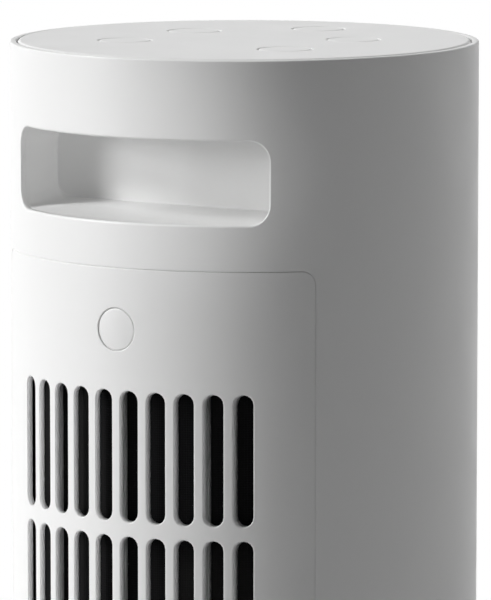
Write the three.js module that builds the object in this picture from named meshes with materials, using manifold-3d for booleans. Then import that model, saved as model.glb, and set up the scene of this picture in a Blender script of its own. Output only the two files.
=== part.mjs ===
import * as THREE from 'three';
import { mergeVertices } from 'three/addons/utils/BufferGeometryUtils.js';
import Module from 'manifold-3d';

// Tower heater on a swinging base. Millimetres, +Z up, origin on the floor under the tower's axis.
// Hot air leaves towards -Y. The intake cover and the carrying handle face +Y.

// Fits shared by all pieces
const fitGap = 0.3;
const seamGap = 0.4;
const runningGap = 0.12;
const screwGap = 0.2;
const overrun = 2;
const mergeDepth = 1;
const boreRoof = 1;
const weldDistance = 0.0001;

// Facets
const bigRound = 60;
const shelfRound = 30;
const smallRound = 16;
const tinyRound = 8;
const slotEndSteps = 3;
const cornerSteps = 3;
const edgeSteps = 2;

// Tower shell
const towerDiameter = 190;
const towerHeight = 600;
const shellWall = 2.6;
const rimRound = 0.6;
const shadowGap = 4;
const skirtRound = 1;
const towerRadius = towerDiameter / 2;
const shellInner = towerRadius - shellWall;

// A length in plan that keeps its share of the tower's radius
function acrossTower(share) {
  return towerRadius * share;
}

// Base
const footHeight = 3;
const footDiameter = 18;
const footChamfer = 0.8;
const footCircle = acrossTower(1.5158);
const footCount = 4;
const weightThickness = 3;
const baseInset = 2;
const baseHeight = 24;
const baseWall = 2.6;
const baseRound = 4;
const basePostDiameter = 9;
const basePostCircle = acrossTower(1.1579);
const basePostCount = 3;
const hubDiameter = 24;
const hubBore = 16;
const hubAboveFloor = 10;
const glideHeight = 5;
const glideInner = acrossTower(1.2632);
const glideWidth = 6;
const clipThickness = 1.2;
const clipWidth = 5;
const clipGroove = 1;

// Cord gland in the base's rear wall
const glandHeight = 13.5;
const glandHole = 9;
const glandFlange = 13;
const glandProud = 1.5;
const glandBore = 6.4;
const glandInner = 8;
const glandSeat = 1.2;

// Tip-over switch
const plungerX = 8;
const plungerY = acrossTower(-0.6526);
const plungerHead = 8;
const plungerFlange = 12;
const plungerFlangeThickness = 1.4;
const plungerTravel = 4;
const plungerRest = 0.3;
const plungerSpare = 1;
const plungerTip = 3;
const plungerTipLength = 3;
const switchLength = 20;
const switchWidth = 8;

// Swing gears
const gearPitchDiameter = 60;
const gearTeeth = 60;
const gearModule = gearPitchDiameter / gearTeeth;
const gearToothedEachSide = 9;
const pinionTeeth = 12;
const gearThickness = 3.6;
const pinionThickness = 3.6;
const pressureAngle = 25;
const addendumShare = 0.9;
const dedendumShare = 1.25;
const backlash = 0.24;
const pinionShaft = 5;
const pinionShaftInMotor = 6;

// Tower floor, swing motor and power board
const floorThickness = 3;
const collarWall = 5;
const collarHeight = 4;
const lugInset = 9.4;
const lugWidth = 9;
const lugReach = 5;
const lugHeight = 12;
const lugCount = 3;
const lugStartAngle = 90;
const motorDiameter = 48;
const motorHeight = 19;
const motorOffset = 10;
const motorEarWidth = 7;
const motorEarSpan = 60;
const motorEarThickness = 1;
const boardThickness = 1.6;
const powerBoardWidth = acrossTower(1.0947);
const powerBoardDepth = acrossTower(0.5263);
const powerBoardFront = acrossTower(0.2526);
const powerBoardLift = 18;
const powerPostDiameter = 6;
const powerPostInset = 6;
const relayWidth = 16;
const relayDepth = 20;
const relayHeight = 15;
const relayPitch = 24;
const relayRow = acrossTower(0.4);
const coilWidth = 42;
const coilDepth = 14;
const coilHeight = 18;
const coilRow = acrossTower(0.6526);

// Screws
const screwShank = 3.2;
const screwHead = 6.8;
const screwHeadHeight = 1.8;
const screwLength = 11;
const boardScrewShank = 2.4;
const boardScrewHead = 5;
const boardScrewHeadHeight = 1.4;
const boardScrewLength = 7;

// Rows of air slots, as many as fit above the lowest place, and angles from the middle of their side
const slotRowPitch = 58.2;
const slotRowGap = 5.3;
const lowestSlotRow = 170;
const slotPitchAngle = 7.11;
const slotOpenAngle = 5;
const coverColumns = 10;
const grilleColumns = 8;
const grilleThickness = 3.7;
const ribDepth = 2.3;
const ribEvery = 3;

// Intake cover
const coverHalfWidth = acrossTower(0.75474);
const coverBelowHandle = 18.3;
const coverMargin = 48.5;
const coverCorner = 6;
const tabInset = acrossTower(0.3684);
const tabWidth = 12;
const tabDrop = 7;
const tabOverlap = 11;
const tabThickness = 2.5;

// Frames on which the cover and the grille sit
const frameThickness = 2.5;
const frameLap = 8;
const frameBorder = 6;

// Outlet grille
const grilleHalfWidth = acrossTower(0.53684);
const grilleMargin = 13.4;
const grilleCorner = 6;

// Dust filter
const filterThickness = 2.2;
const filterSkin = 0.6;
const filterHalfWidth = acrossTower(0.6316);
const filterMargin = 3;
const filterBorder = 5;
const filterBars = 1;
const filterBarHeight = 2.4;

// Release button, catch and keeper spring
const releaseShare = 0.4938;
const releaseDiameter = 16.8;
const releaseGroove = 0.5;
const releaseTravel = 2.5;
const releaseRound = 0.8;
const sleeveWall = 2.1;
const sleeveLength = 6.3;
const releaseFlange = 21;
const releaseFlangeThickness = 2;
const noseWidth = 6;
const noseBehind = 1.7;
const noseHeight = 6;
const catchSpan = 28;
const catchArm = 2;
const catchHeight = 5;
const catchBar = 2;
const catchReach = 15.3;
const catchRise = 11.45;
const keeperThickness = 1;
const keeperWidth = 8;
const keeperClear = 0.5;
const keeperBarbDepth = 2.3;
const keeperReach = 35.3;
const keeperPostDepth = 8;
const keeperPostWidth = 10;

// Handle recess
const handleHalfWidth = acrossTower(0.61053);
const handleDrop = 31.6;
const handleHeight = 33;
const handleCorner = 8.5;
const handleDepth = 46;
const cupWall = 2.2;

// Top panel and its ledge in the shell
const panelGroove = 0.6;
const panelProud = 0.4;
const panelThickness = 2.5;
const panelRound = 1.5;
const panelSkirt = 2.6;
const panelDepth = 6.1;
const ledgeWidth = 3.9;
const ledgeHeight = 4;

// Top buttons
const buttonDiameter = 22.6;
const buttonGroove = 0.4;
const buttonTravel = 1;
const buttonFlangeLip = 1.5;
const buttonFlangeThickness = 1.5;
const buttonFlangeClear = 0.5;
const buttonStem = 5;
const buttonRound = 0.4;
const rearButtonX = acrossTower(0.39263);
const rearButtonY = acrossTower(0.31579);
const frontButtonX = acrossTower(0.39579);
const frontButtonY = acrossTower(-0.23158);
const noseButtonY = acrossTower(-0.60316);

// Control board and display
const boardDrop = 10.3;
const controlBoardDiameter = acrossTower(1.6);
const tactSize = 6;
const tactHeight = 2.7;
const boardPostDiameter = 7;
const boardPostCircle = acrossTower(1.3895);
const boardPostCount = 3;
const displayWidth = acrossTower(0.4632);
const displayDepth = 20;

// Shelves that hold the fan
const shelfThickness = 3;
const shelfBelowSlots = 6.9;
const shelfAboveSlots = 5.4;
const shelfLugWidth = 12;
const shelfLugReach = 8;
const shelfLugHeight = 4;
const shelfLugAngle = 15;

// Crossflow fan
const fanY = acrossTower(0.1684);
const impellerDiameter = acrossTower(0.6526);
const impellerClear = 6;
const impellerPlate = 2;
const impellerRings = 1;
const bladeCount = 16;
const bladeLength = 9;
const bladeThickness = 1.2;
const bladeLean = 35;
const impellerHub = 16;
const impellerHubHeight = 9;
const fanShaft = 6;
const bushWall = 4;
const bushFlange = 2.5;
const bushFlangeHeight = 2;
const fanMotorDiameter = 50;
const fanMotorHeight = 42;
const fanMotorWall = 8;
const fanMotorLid = 4;
const fanMotorFlange = 4;
const fanMotorFlangeHeight = 3;
const rotorClear = 0.5;
const rotorMargin = 5;

// Air guides
const guideThickness = 2;
const scrollStartAngle = 165;
const scrollEndAngle = 210;
const scrollStartClear = 4;
const scrollEndClear = 16;
const scrollSteps = 10;
const guideWingX = acrossTower(0.7158);
const guideWingClear = 2.9;
const tongueX = acrossTower(0.3789);
const tongueY = acrossTower(0.1263);

// Heater duct and elements
const ductHalfWidth = acrossTower(0.5263);
const ductWall = 2.5;
const ductBack = acrossTower(-0.4632);
const elementInDuct = 4;
const elementDepth = 12;
const elementLip = 2.5;
const elementSlots = 15;
const elementSlotShare = 0.66;
const elementRim = 3;
const cutoutDiameter = 16;
const cutoutHeight = 6;
const cutoutDrop = 55;
const fuseDiameter = 4;
const fuseLength = 14;
const fuseDrop = 95;

// Room sensor under the lower shelf
const sensorWidth = 8;
const sensorDepth = 6;
const sensorHeight = 14;
const sensorX = acrossTower(-0.4211);
const sensorY = acrossTower(0.6526);

// Worked-out places
const shellBottom = baseHeight + shadowGap;
const floorBottom = baseHeight + glideHeight + runningGap;
const floorTop = floorBottom + floorThickness;
const hubRadius = hubDiameter / 2;
const hubTop = floorTop + hubAboveFloor;
const weightTop = footHeight + weightThickness;
const baseRadius = towerRadius - baseInset;
const lugCircle = (shellInner - lugInset) * 2;
const grilleInner = towerRadius - grilleThickness;
const frameOuter = grilleInner - fitGap;
const frameInner = frameOuter - frameThickness;
const insideFrame = frameInner - fitGap;
const handleTop = towerHeight - handleDrop;
const handleBottom = handleTop - handleHeight;
const handleBackWall = towerRadius - handleDepth;
const slotLength = slotRowPitch - slotRowGap;
const coverTop = handleBottom - coverBelowHandle;
const slotTop = coverTop - coverMargin;
const slotRows = Math.floor((slotTop - lowestSlotRow) / slotRowPitch);
const slotBottom = slotTop - slotLength - slotRowPitch * (slotRows - 1);
const coverBottom = slotBottom - coverMargin;
const grilleTop = slotTop + grilleMargin;
const grilleBottom = slotBottom - grilleMargin;
const releaseHeight = slotTop + (coverTop - slotTop) * releaseShare;
const catchTop = releaseHeight + catchRise;
const keeperRoot = grilleInner - keeperReach;
const lowerShelf = slotBottom - shelfBelowSlots - shelfThickness;
const upperShelf = slotTop + shelfAboveSlots;
const elementBack = ductBack - elementInDuct;
const cutoutZ = upperShelf - cutoutDrop;
const fuseZ = upperShelf - fuseDrop;
const guideWingY = Math.sqrt((frameInner - guideWingClear) ** 2 - guideWingX ** 2);
const lowerShelfTop = lowerShelf + shelfThickness;
const upperShelfTop = upperShelf + shelfThickness;
const panelTop = towerHeight + panelProud;
const panelUnder = panelTop - panelThickness;
const panelSeat = panelTop - panelDepth;
const boardTop = panelUnder - boardDrop;
const boardUnder = boardTop - boardThickness;
const swingCentre = gearModule * (gearTeeth + pinionTeeth) / 2;

// Finishes: colour, roughness and metalness
const finishes = {
  white: { color: 0xf0f0ee, roughness: 0.42, metalness: 0 },
  lightGrey: { color: 0xd6d7d8, roughness: 0.5, metalness: 0 },
  black: { color: 0x17181a, roughness: 0.6, metalness: 0 },
  rubber: { color: 0x222326, roughness: 0.85, metalness: 0 },
  mesh: { color: 0x0e0f10, roughness: 0.8, metalness: 0 },
  steel: { color: 0xa9adb2, roughness: 0.35, metalness: 0.9 },
  aluminium: { color: 0xc3c6ca, roughness: 0.4, metalness: 0.85 },
  board: { color: 0x1f5a3a, roughness: 0.55, metalness: 0 },
  ceramic: { color: 0xd9d2c4, roughness: 0.7, metalness: 0 },
  natural: { color: 0xe6e2d4, roughness: 0.55, metalness: 0 },
  smoked: { color: 0x2a2c30, roughness: 0.25, metalness: 0 },
};

const wasm = await Module();
wasm.setup();

// Solid from a closed geometry, its corners welded and its faces turned outwards
function solidFrom(geometry) {
  const bare = new THREE.BufferGeometry();
  bare.setAttribute('position', geometry.getAttribute('position'));
  bare.setIndex(geometry.index);
  const welded = mergeVertices(bare, weldDistance);
  const places = welded.getAttribute('position').array;
  const index = welded.index.array;
  const a = new THREE.Vector3();
  const b = new THREE.Vector3();
  const c = new THREE.Vector3();
  const faces = [];
  let volume = 0;
  for (let i = 0; i < index.length; i += 3) {
    const [p, q, r] = [index[i], index[i + 1], index[i + 2]];
    if (p === q || q === r || r === p) continue;
    faces.push([p, q, r]);
    a.fromArray(places, p * 3);
    b.fromArray(places, q * 3);
    c.fromArray(places, r * 3);
    volume += a.dot(b.cross(c));
  }
  if (volume < 0) faces.forEach((face) => face.reverse());
  return new wasm.Manifold(new wasm.Mesh({
    numProp: 3,
    vertProperties: new Float32Array(places),
    triVerts: new Uint32Array(faces.flat()),
  }));
}

function geometryFrom(solid) {
  const shape = solid.getMesh();
  const geometry = new THREE.BufferGeometry();
  geometry.setAttribute('position', new THREE.BufferAttribute(shape.vertProperties, 3));
  geometry.setIndex(new THREE.BufferAttribute(shape.triVerts, 1));
  geometry.computeVertexNormals();
  return geometry;
}

function radians(degrees) {
  return THREE.MathUtils.degToRad(degrees);
}

function shapeOf(points) {
  return new THREE.Shape(points.map(([u, v]) => new THREE.Vector2(u, v)));
}

// Solid of revolution about the vertical axis, from places given as radius and height
function turned(profile, segments) {
  const points = profile.map(([radius, height]) => new THREE.Vector2(radius, height));
  const geometry = new THREE.LatheGeometry(points, segments);
  return solidFrom(geometry.rotateX(Math.PI / 2));
}

function ring(inner, outer, bottom, top, segments) {
  const profile = [[inner, bottom], [outer, bottom], [outer, top], [inner, top], [inner, bottom]];
  return turned(profile, segments);
}

function disc(radius, bottom, top, segments) {
  return turned([[0, bottom], [radius, bottom], [radius, top], [0, top]], segments);
}

function discAt(x, y, radius, bottom, top, segments) {
  return disc(radius, bottom, top, segments).translate([x, y, 0]);
}

// Prism with its outline in plan
function upright(shape, bottom, top) {
  const options = { depth: top - bottom, bevelEnabled: false, curveSegments: cornerSteps };
  return solidFrom(new THREE.ExtrudeGeometry(shape, options).translate(0, 0, bottom));
}

// Prism with its outline in X and Z, running along Y
function alongY(shape, near, far) {
  const options = { depth: far - near, bevelEnabled: false, curveSegments: cornerSteps };
  const geometry = new THREE.ExtrudeGeometry(shape, options);
  return solidFrom(geometry.rotateX(Math.PI / 2).translate(0, far, 0));
}

// Prism with its outline in Y and Z, centred across X
function alongX(shape, width) {
  const options = { depth: width, bevelEnabled: false, curveSegments: cornerSteps };
  const geometry = new THREE.ExtrudeGeometry(shape, options);
  geometry.rotateX(Math.PI / 2).rotateZ(Math.PI / 2).translate(-width / 2, 0, 0);
  return solidFrom(geometry);
}

// Box between two places on each axis
function block([left, right], [front, back], [bottom, top]) {
  const geometry = new THREE.BoxGeometry(right - left, back - front, top - bottom);
  geometry.translate((left + right) / 2, (front + back) / 2, (bottom + top) / 2);
  return solidFrom(geometry);
}

// Disc whose axis lies along Y, through x = 0
function discAlongY(radius, near, far, height, segments) {
  const geometry = new THREE.CylinderGeometry(radius, radius, far - near, segments);
  return solidFrom(geometry.translate(0, (near + far) / 2, height));
}

function roundedOutline(halfWidth, bottom, top, corner) {
  const shape = new THREE.Shape();
  shape.absarc(halfWidth - corner, bottom + corner, corner, -Math.PI / 2, 0);
  shape.absarc(halfWidth - corner, top - corner, corner, 0, Math.PI / 2);
  shape.absarc(corner - halfWidth, top - corner, corner, Math.PI / 2, Math.PI);
  shape.absarc(corner - halfWidth, bottom + corner, corner, Math.PI, Math.PI * 3 / 2);
  return shape;
}

function joined(solids) {
  return solids.reduce((whole, solid) => whole.add(solid));
}

function cutBy(solid, cutters) {
  return cutters.length ? solid.subtract(joined(cutters)) : solid;
}

// Places spaced evenly round a circle, as x, y and angle
function roundThe(circle, count, startAngle) {
  return Array.from({ length: count }, (_, i) => {
    const angle = radians(startAngle + 360 * i / count);
    return { x: circle / 2 * Math.cos(angle), y: circle / 2 * Math.sin(angle), angle };
  });
}

function piece(name, solid, finish, x = 0, y = 0, z = 0) {
  const mesh = new THREE.Mesh(geometryFrom(solid), new THREE.MeshStandardMaterial(finish));
  mesh.name = name;
  mesh.position.set(x, y, z);
  return mesh;
}

// Air slots: columns at even angles on the round wall, each slot cut straight along Y
function slotColumns(columns) {
  return Array.from({ length: columns }, (_, i) => {
    const middle = slotPitchAngle * (i - (columns - 1) / 2);
    const left = towerRadius * Math.sin(radians(middle - slotOpenAngle / 2));
    const right = towerRadius * Math.sin(radians(middle + slotOpenAngle / 2));
    return { left, right };
  });
}

function slotOutline({ left, right }, bottom, top) {
  const radius = (right - left) / 2;
  const middle = (left + right) / 2;
  const points = [];
  for (let i = 0; i <= slotEndSteps; i += 1) {
    const angle = Math.PI * i / slotEndSteps;
    points.push([middle + radius * Math.cos(angle), top - radius + radius * Math.sin(angle)]);
  }
  for (let i = 0; i <= slotEndSteps; i += 1) {
    const angle = Math.PI * (1 + i / slotEndSteps);
    points.push([middle + radius * Math.cos(angle), bottom + radius + radius * Math.sin(angle)]);
  }
  return shapeOf(points);
}

function slotCutters(columns) {
  const cutters = [];
  for (const column of slotColumns(columns)) {
    for (let row = 0; row < slotRows; row += 1) {
      const top = slotTop - slotRowPitch * row;
      cutters.push(alongY(slotOutline(column, top - slotLength, top), 0, towerDiameter));
    }
  }
  return cutters;
}

// Upright ribs behind every third bar between the slots
function slotRibs(columns) {
  const places = slotColumns(columns);
  const ribs = [];
  for (let i = 1; i < columns; i += 1) {
    if (i % ribEvery !== ribEvery - 1) continue;
    const across = [places[i - 1].right, places[i].left];
    ribs.push(block(across, [0, towerDiameter], [slotBottom, slotTop]));
  }
  const depth = ring(grilleInner - ribDepth, grilleInner + ribDepth, slotBottom, slotTop, bigRound);
  return depth.intersect(joined(ribs));
}

// Curved panel that is flush with the shell's outside, on the +Y side
function slottedPanel(halfWidth, bottom, top, corner, columns) {
  const wall = ring(grilleInner, towerRadius, bottom - overrun, top + overrun, bigRound);
  const face = wall.intersect(alongY(roundedOutline(halfWidth, bottom, top, corner), 0, towerDiameter));
  return cutBy(face, slotCutters(columns)).add(slotRibs(columns));
}

// Opening in the shell for such a panel, and the frame behind its edge
function panelOpening(halfWidth, bottom, top, corner) {
  const outline = roundedOutline(halfWidth + seamGap, bottom - seamGap, top + seamGap, corner + seamGap);
  return alongY(outline, 0, towerDiameter);
}

function panelFrame(halfWidth, bottom, top, corner) {
  const outside = [halfWidth + frameBorder, bottom - frameBorder, top + frameBorder];
  const inside = [halfWidth - frameLap, bottom + frameLap, top - frameLap];
  const reach = alongY(roundedOutline(...outside, corner), 0, towerDiameter);
  const hole = alongY(roundedOutline(...inside, corner), 0, towerDiameter);
  const opening = panelOpening(halfWidth, bottom, top, corner);
  const seat = ring(frameInner, frameOuter, outside[1], outside[2], shelfRound);
  const web = ring(frameInner, shellInner + shellWall / 2, outside[1], outside[2], shelfRound);
  return seat.add(web.subtract(opening)).intersect(reach).subtract(hole);
}

// Outer shell with its openings, frames, panel ledge and lugs
function outerShell() {
  const rim = towerHeight - rimRound;
  const profile = [
    [shellInner, shellBottom],
    [towerRadius - skirtRound, shellBottom],
    [towerRadius, shellBottom + skirtRound],
    [towerRadius, rim],
    [towerRadius - rimRound, towerHeight],
    [shellInner, towerHeight],
    [shellInner, shellBottom],
  ];
  const ledgeInner = shellInner - ledgeWidth;
  const ledge = ring(ledgeInner, shellInner + shellWall / 2, panelSeat - ledgeHeight, panelSeat, shelfRound);
  const rear = [coverHalfWidth, coverBottom, coverTop, coverCorner];
  const front = [grilleHalfWidth, grilleBottom, grilleTop, grilleCorner];
  const handle = roundedOutline(handleHalfWidth, handleBottom, handleTop, handleCorner);
  const cuts = [
    panelOpening(...rear),
    panelOpening(...front).rotate([0, 0, 180]),
    alongY(handle, 0, towerDiameter),
  ];
  const frames = [panelFrame(...rear).subtract(tabPockets()), panelFrame(...front).rotate([0, 0, 180])];
  const wall = cutBy(turned(profile, bigRound), cuts);
  return joined([wall, ledge, ...frames, ...floorLugs(), ...shelfLugs()]);
}

// Pockets in the rear frame for the cover's two lower tabs
function tabPockets() {
  const height = [coverBottom - frameLap, coverBottom + tabOverlap + frameLap];
  const space = ring(frameInner - overrun, shellInner, ...height, bigRound);
  const half = tabWidth / 2 + seamGap + seamGap;
  const pockets = [-tabInset, tabInset].map((x) => (
    block([x - half, x + half], [0, towerDiameter], height)
  ));
  return space.intersect(joined(pockets));
}

function floorLugs() {
  return roundThe(lugCircle, lugCount, lugStartAngle).map(({ angle }) => {
    const reach = [lugCircle / 2 - lugReach, towerRadius - shellWall / 2];
    const lug = block(reach, [-lugWidth / 2, lugWidth / 2], [floorTop, floorTop + lugHeight]);
    const bore = discAt(lugCircle / 2, 0, screwShank / 2 + screwGap, floorTop - overrun,
      floorTop + lugHeight - overrun, tinyRound);
    return lug.subtract(bore).rotate([0, 0, THREE.MathUtils.radToDeg(angle)]);
  });
}

function shelfLugs() {
  const angles = [shelfLugAngle, -shelfLugAngle, 180 - shelfLugAngle, 180 + shelfLugAngle];
  const across = [-shelfLugWidth / 2, shelfLugWidth / 2];
  const reach = [shellInner - shelfLugReach, towerRadius - shellWall / 2];
  return [lowerShelf, upperShelf].flatMap((under) => angles.map((angle) => (
    block(reach, across, [under - shelfLugHeight, under]).rotate([0, 0, angle])
  )));
}

// Base: rubber feet, steel weight plate, cover with its hub, glide ring and clip
function foot() {
  const radius = footDiameter / 2;
  return turned([
    [0, 0],
    [radius - footChamfer, 0],
    [radius, footChamfer],
    [radius, footHeight],
    [0, footHeight],
  ], smallRound);
}

function weightPlate() {
  const radius = baseRadius - baseWall - fitGap;
  const plate = disc(radius, footHeight, weightTop, shelfRound);
  const holes = roundThe(basePostCircle, basePostCount, 90).map(({ x, y }) => (
    discAt(x, y, screwShank / 2 + screwGap, 0, baseHeight, tinyRound)
  ));
  holes.push(discAt(plungerX, plungerY, plungerHead / 2 + fitGap, 0, baseHeight, smallRound));
  return cutBy(plate, holes);
}

function baseCover() {
  const edge = [];
  for (let i = 0; i <= edgeSteps; i += 1) {
    const angle = Math.PI / 2 * i / edgeSteps;
    edge.push([
      baseRadius - baseRound + baseRound * Math.cos(angle),
      baseHeight - baseRound + baseRound * Math.sin(angle),
    ]);
  }
  const clipBottom = floorTop + collarHeight;
  const grooveTop = clipBottom + clipThickness + fitGap + fitGap;
  const groove = hubRadius - clipGroove;
  const profile = [
    [hubBore / 2, baseHeight - baseWall],
    [baseRadius - baseWall, baseHeight - baseWall],
    [baseRadius - baseWall, footHeight],
    [baseRadius, footHeight],
    ...edge,
    [hubRadius, baseHeight],
    [hubRadius, clipBottom],
    [groove, clipBottom],
    [groove, grooveTop],
    [hubRadius, grooveTop],
    [hubRadius, hubTop],
    [hubBore / 2, hubTop],
    [hubBore / 2, baseHeight - baseWall],
  ];
  const posts = roundThe(basePostCircle, basePostCount, 90).map(({ x, y }) => {
    const post = discAt(x, y, basePostDiameter / 2, weightTop, baseHeight - baseWall / 2, smallRound);
    const bore = discAt(x, y, screwShank / 2 + screwGap, 0, baseHeight - baseWall - boreRoof, tinyRound);
    return post.subtract(bore);
  });
  const gland = discAlongY(glandHole / 2, baseRadius - baseWall - overrun, baseRadius + overrun,
    glandHeight, smallRound);
  return joined([turned(profile, shelfRound), ...posts]).subtract(gland);
}

function glideRing() {
  return ring(glideInner / 2, glideInner / 2 + glideWidth, baseHeight, baseHeight + glideHeight, shelfRound);
}

function axleClip() {
  const bottom = floorTop + collarHeight + fitGap;
  const inner = hubRadius - clipGroove + fitGap;
  const clip = ring(inner, inner + clipWidth, bottom, bottom + clipThickness, smallRound);
  const mouth = inner * Math.SQRT1_2;
  return clip.subtract(block([-mouth, mouth], [0, hubDiameter], [bottom - overrun, bottom + overrun]));
}

// Gland: a bush through the base's rear wall with a flange outside and a rim inside
function cordGland() {
  const outside = baseRadius + glandProud;
  const inside = baseRadius - baseWall - glandSeat;
  const neck = glandHole / 2 - screwGap;
  const profile = [
    [glandBore / 2, inside],
    [glandInner / 2 + fitGap, inside],
    [neck, baseRadius - baseWall - fitGap],
    [neck, baseRadius + fitGap / 2],
    [glandFlange / 2, baseRadius + fitGap / 2],
    [glandFlange / 2, outside - fitGap],
    [glandFlange / 2 - fitGap, outside],
    [glandBore / 2, outside],
    [glandBore / 2, inside],
  ];
  return turned(profile, smallRound).rotate([-90, 0, 0]).translate([0, 0, glandHeight]);
}

function tipPlunger() {
  const head = plungerHead / 2;
  const flange = weightTop + plungerTravel + plungerSpare;
  const tip = flange + plungerFlangeThickness;
  return turned([
    [0, plungerRest],
    [head - footChamfer, plungerRest],
    [head, plungerRest + footChamfer],
    [head, flange],
    [plungerFlange / 2, flange],
    [plungerFlange / 2, tip],
    [plungerTip / 2, tip],
    [plungerTip / 2, tip + plungerTipLength],
    [0, tip + plungerTipLength],
  ], smallRound);
}

function tipSwitch() {
  const tip = weightTop + plungerTravel + plungerSpare + plungerFlangeThickness + plungerTipLength;
  const across = [-switchLength / 2, switchLength / 2];
  const along = [-switchWidth / 2, switchWidth / 2];
  return block(across, along, [tip + fitGap, baseHeight - baseWall]);
}

// Screws: a pan head under the face that it clamps
function screw(shank, head, headHeight, length) {
  return turned([
    [0, -headHeight],
    [head / 2 - headHeight / 2, -headHeight],
    [head / 2, -headHeight / 2],
    [head / 2, 0],
    [shank / 2, 0],
    [shank / 2, length],
    [0, length],
  ], tinyRound);
}

// Spur gear outline with involute flanks, teeth listed by their number round the wheel
function gearOutline(teeth, toothNumbers, tipRadius) {
  const pitchRadius = gearModule * teeth / 2;
  const rootRadius = pitchRadius - gearModule * dedendumShare;
  const baseCircle = pitchRadius * Math.cos(radians(pressureAngle));
  const spread = (radius) => {
    const ratio = Math.max(radius, baseCircle) / baseCircle;
    const roll = Math.sqrt(ratio * ratio - 1);
    return roll - Math.atan(roll);
  };
  const atPitch = (Math.PI / 2 - backlash / gearModule / 2) / teeth + spread(pitchRadius);
  const flank = [rootRadius, Math.max(rootRadius, baseCircle), pitchRadius, tipRadius];
  const points = [];
  for (let tooth = 0; tooth < teeth; tooth += 1) {
    const middle = Math.PI * 2 * tooth / teeth;
    const radii = toothNumbers.includes(tooth) ? flank : [];
    if (!radii.length) points.push([rootRadius * Math.cos(middle), rootRadius * Math.sin(middle)]);
    for (const radius of radii) {
      const angle = middle - atPitch + spread(radius);
      points.push([radius * Math.cos(angle), radius * Math.sin(angle)]);
    }
    for (const radius of [...radii].reverse()) {
      const angle = middle + atPitch - spread(radius);
      points.push([radius * Math.cos(angle), radius * Math.sin(angle)]);
    }
  }
  return shapeOf(points);
}

// The fixed gear has teeth only where the pinion rolls, towards the front
function swingGear() {
  const front = gearTeeth * 3 / 4;
  const numbers = [];
  for (let i = -gearToothedEachSide; i <= gearToothedEachSide; i += 1) numbers.push(front + i);
  const tip = gearModule * (gearTeeth / 2 + addendumShare);
  const wheel = upright(gearOutline(gearTeeth, numbers, tip), baseHeight, baseHeight + gearThickness);
  return wheel.subtract(disc(hubRadius + fitGap, 0, floorTop, shelfRound));
}

function swingPinion() {
  const numbers = Array.from({ length: pinionTeeth }, (_, i) => i);
  const tip = gearModule * (pinionTeeth / 2 + addendumShare);
  const bottom = baseHeight + seamGap;
  const wheel = upright(gearOutline(pinionTeeth, numbers, tip), bottom, bottom + pinionThickness);
  const shaft = disc(pinionShaft / 2, bottom, floorTop + pinionShaftInMotor, smallRound);
  return wheel.rotate([0, 0, 90 + 180 / pinionTeeth]).add(shaft);
}

function towerFloor() {
  const plate = disc(shellInner - fitGap, floorBottom, floorTop, shelfRound);
  const collar = disc(hubRadius + collarWall, floorTop - overrun, floorTop + collarHeight, shelfRound);
  const posts = powerPosts().map(({ x, y }) => (
    discAt(x, y, powerPostDiameter / 2, floorTop - overrun, floorTop + powerBoardLift, tinyRound)
  ));
  const holes = roundThe(lugCircle, lugCount, lugStartAngle).map(({ x, y }) => (
    discAt(x, y, screwShank / 2 + screwGap, 0, floorTop + overrun, tinyRound)
  ));
  holes.push(disc(hubRadius + runningGap, 0, floorTop + collarHeight + overrun, shelfRound));
  holes.push(discAt(0, -swingCentre, pinionShaft / 2 + fitGap, 0, floorTop + overrun, smallRound));
  return cutBy(joined([plate, collar, ...posts]), holes);
}

function powerPosts() {
  const x = powerBoardWidth / 2 - powerPostInset;
  const front = powerBoardFront + powerPostInset;
  const back = powerBoardFront + powerBoardDepth - powerPostInset;
  return [front, back].flatMap((y) => [{ x, y }, { x: -x, y }]);
}

function powerBoard() {
  const under = floorTop + powerBoardLift;
  const top = under + boardThickness;
  const half = powerBoardWidth / 2;
  const board = block([-half, half], [powerBoardFront, powerBoardFront + powerBoardDepth], [under, top]);
  const relays = [-1, 0, 1].map((place) => block(
    [place * relayPitch - relayWidth / 2, place * relayPitch + relayWidth / 2],
    [relayRow - relayDepth / 2, relayRow + relayDepth / 2],
    [top - boardThickness / 2, top + relayHeight],
  ));
  const coil = block(
    [-coilWidth / 2, coilWidth / 2],
    [coilRow - coilDepth / 2, coilRow + coilDepth / 2],
    [top - boardThickness / 2, top + coilHeight],
  );
  return joined([board, ...relays, coil]);
}

function swingMotor() {
  const middle = -swingCentre - motorOffset;
  const can = discAt(0, middle, motorDiameter / 2, floorTop, floorTop + motorHeight, smallRound);
  const ears = block(
    [-motorEarSpan / 2, motorEarSpan / 2],
    [middle - motorEarWidth / 2, middle + motorEarWidth / 2],
    [floorTop, floorTop + motorEarThickness],
  );
  const bore = discAt(0, -swingCentre, pinionShaft / 2 + fitGap, 0,
    floorTop + pinionShaftInMotor + fitGap, smallRound);
  return can.add(ears).subtract(bore);
}

// Intake cover: slotted wall, two lower tabs, the release button's sleeve and the catch
function rearCover() {
  const panel = slottedPanel(coverHalfWidth, coverBottom, coverTop, coverCorner, coverColumns);
  const sleeveInner = grilleInner - sleeveLength;
  const bore = releaseDiameter / 2 + releaseGroove;
  const sleeveOuter = grilleInner + mergeDepth;
  const sleeve = discAlongY(bore + sleeveWall, sleeveInner, sleeveOuter, releaseHeight, smallRound);
  const hole = discAlongY(bore, 0, towerDiameter, releaseHeight, smallRound);
  return joined([panel, sleeve, coverTabs(), coverCatch()]).subtract(hole);
}

function coverTabs() {
  const outer = shellInner - fitGap;
  const wall = ring(outer - tabThickness, outer, coverBottom - tabDrop, coverBottom + tabOverlap, bigRound);
  const tabs = [-tabInset, tabInset].map((x) => block(
    [x - tabWidth / 2, x + tabWidth / 2],
    [0, towerDiameter],
    [coverBottom - tabDrop, coverBottom + tabOverlap],
  ));
  return wall.intersect(joined(tabs));
}

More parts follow.
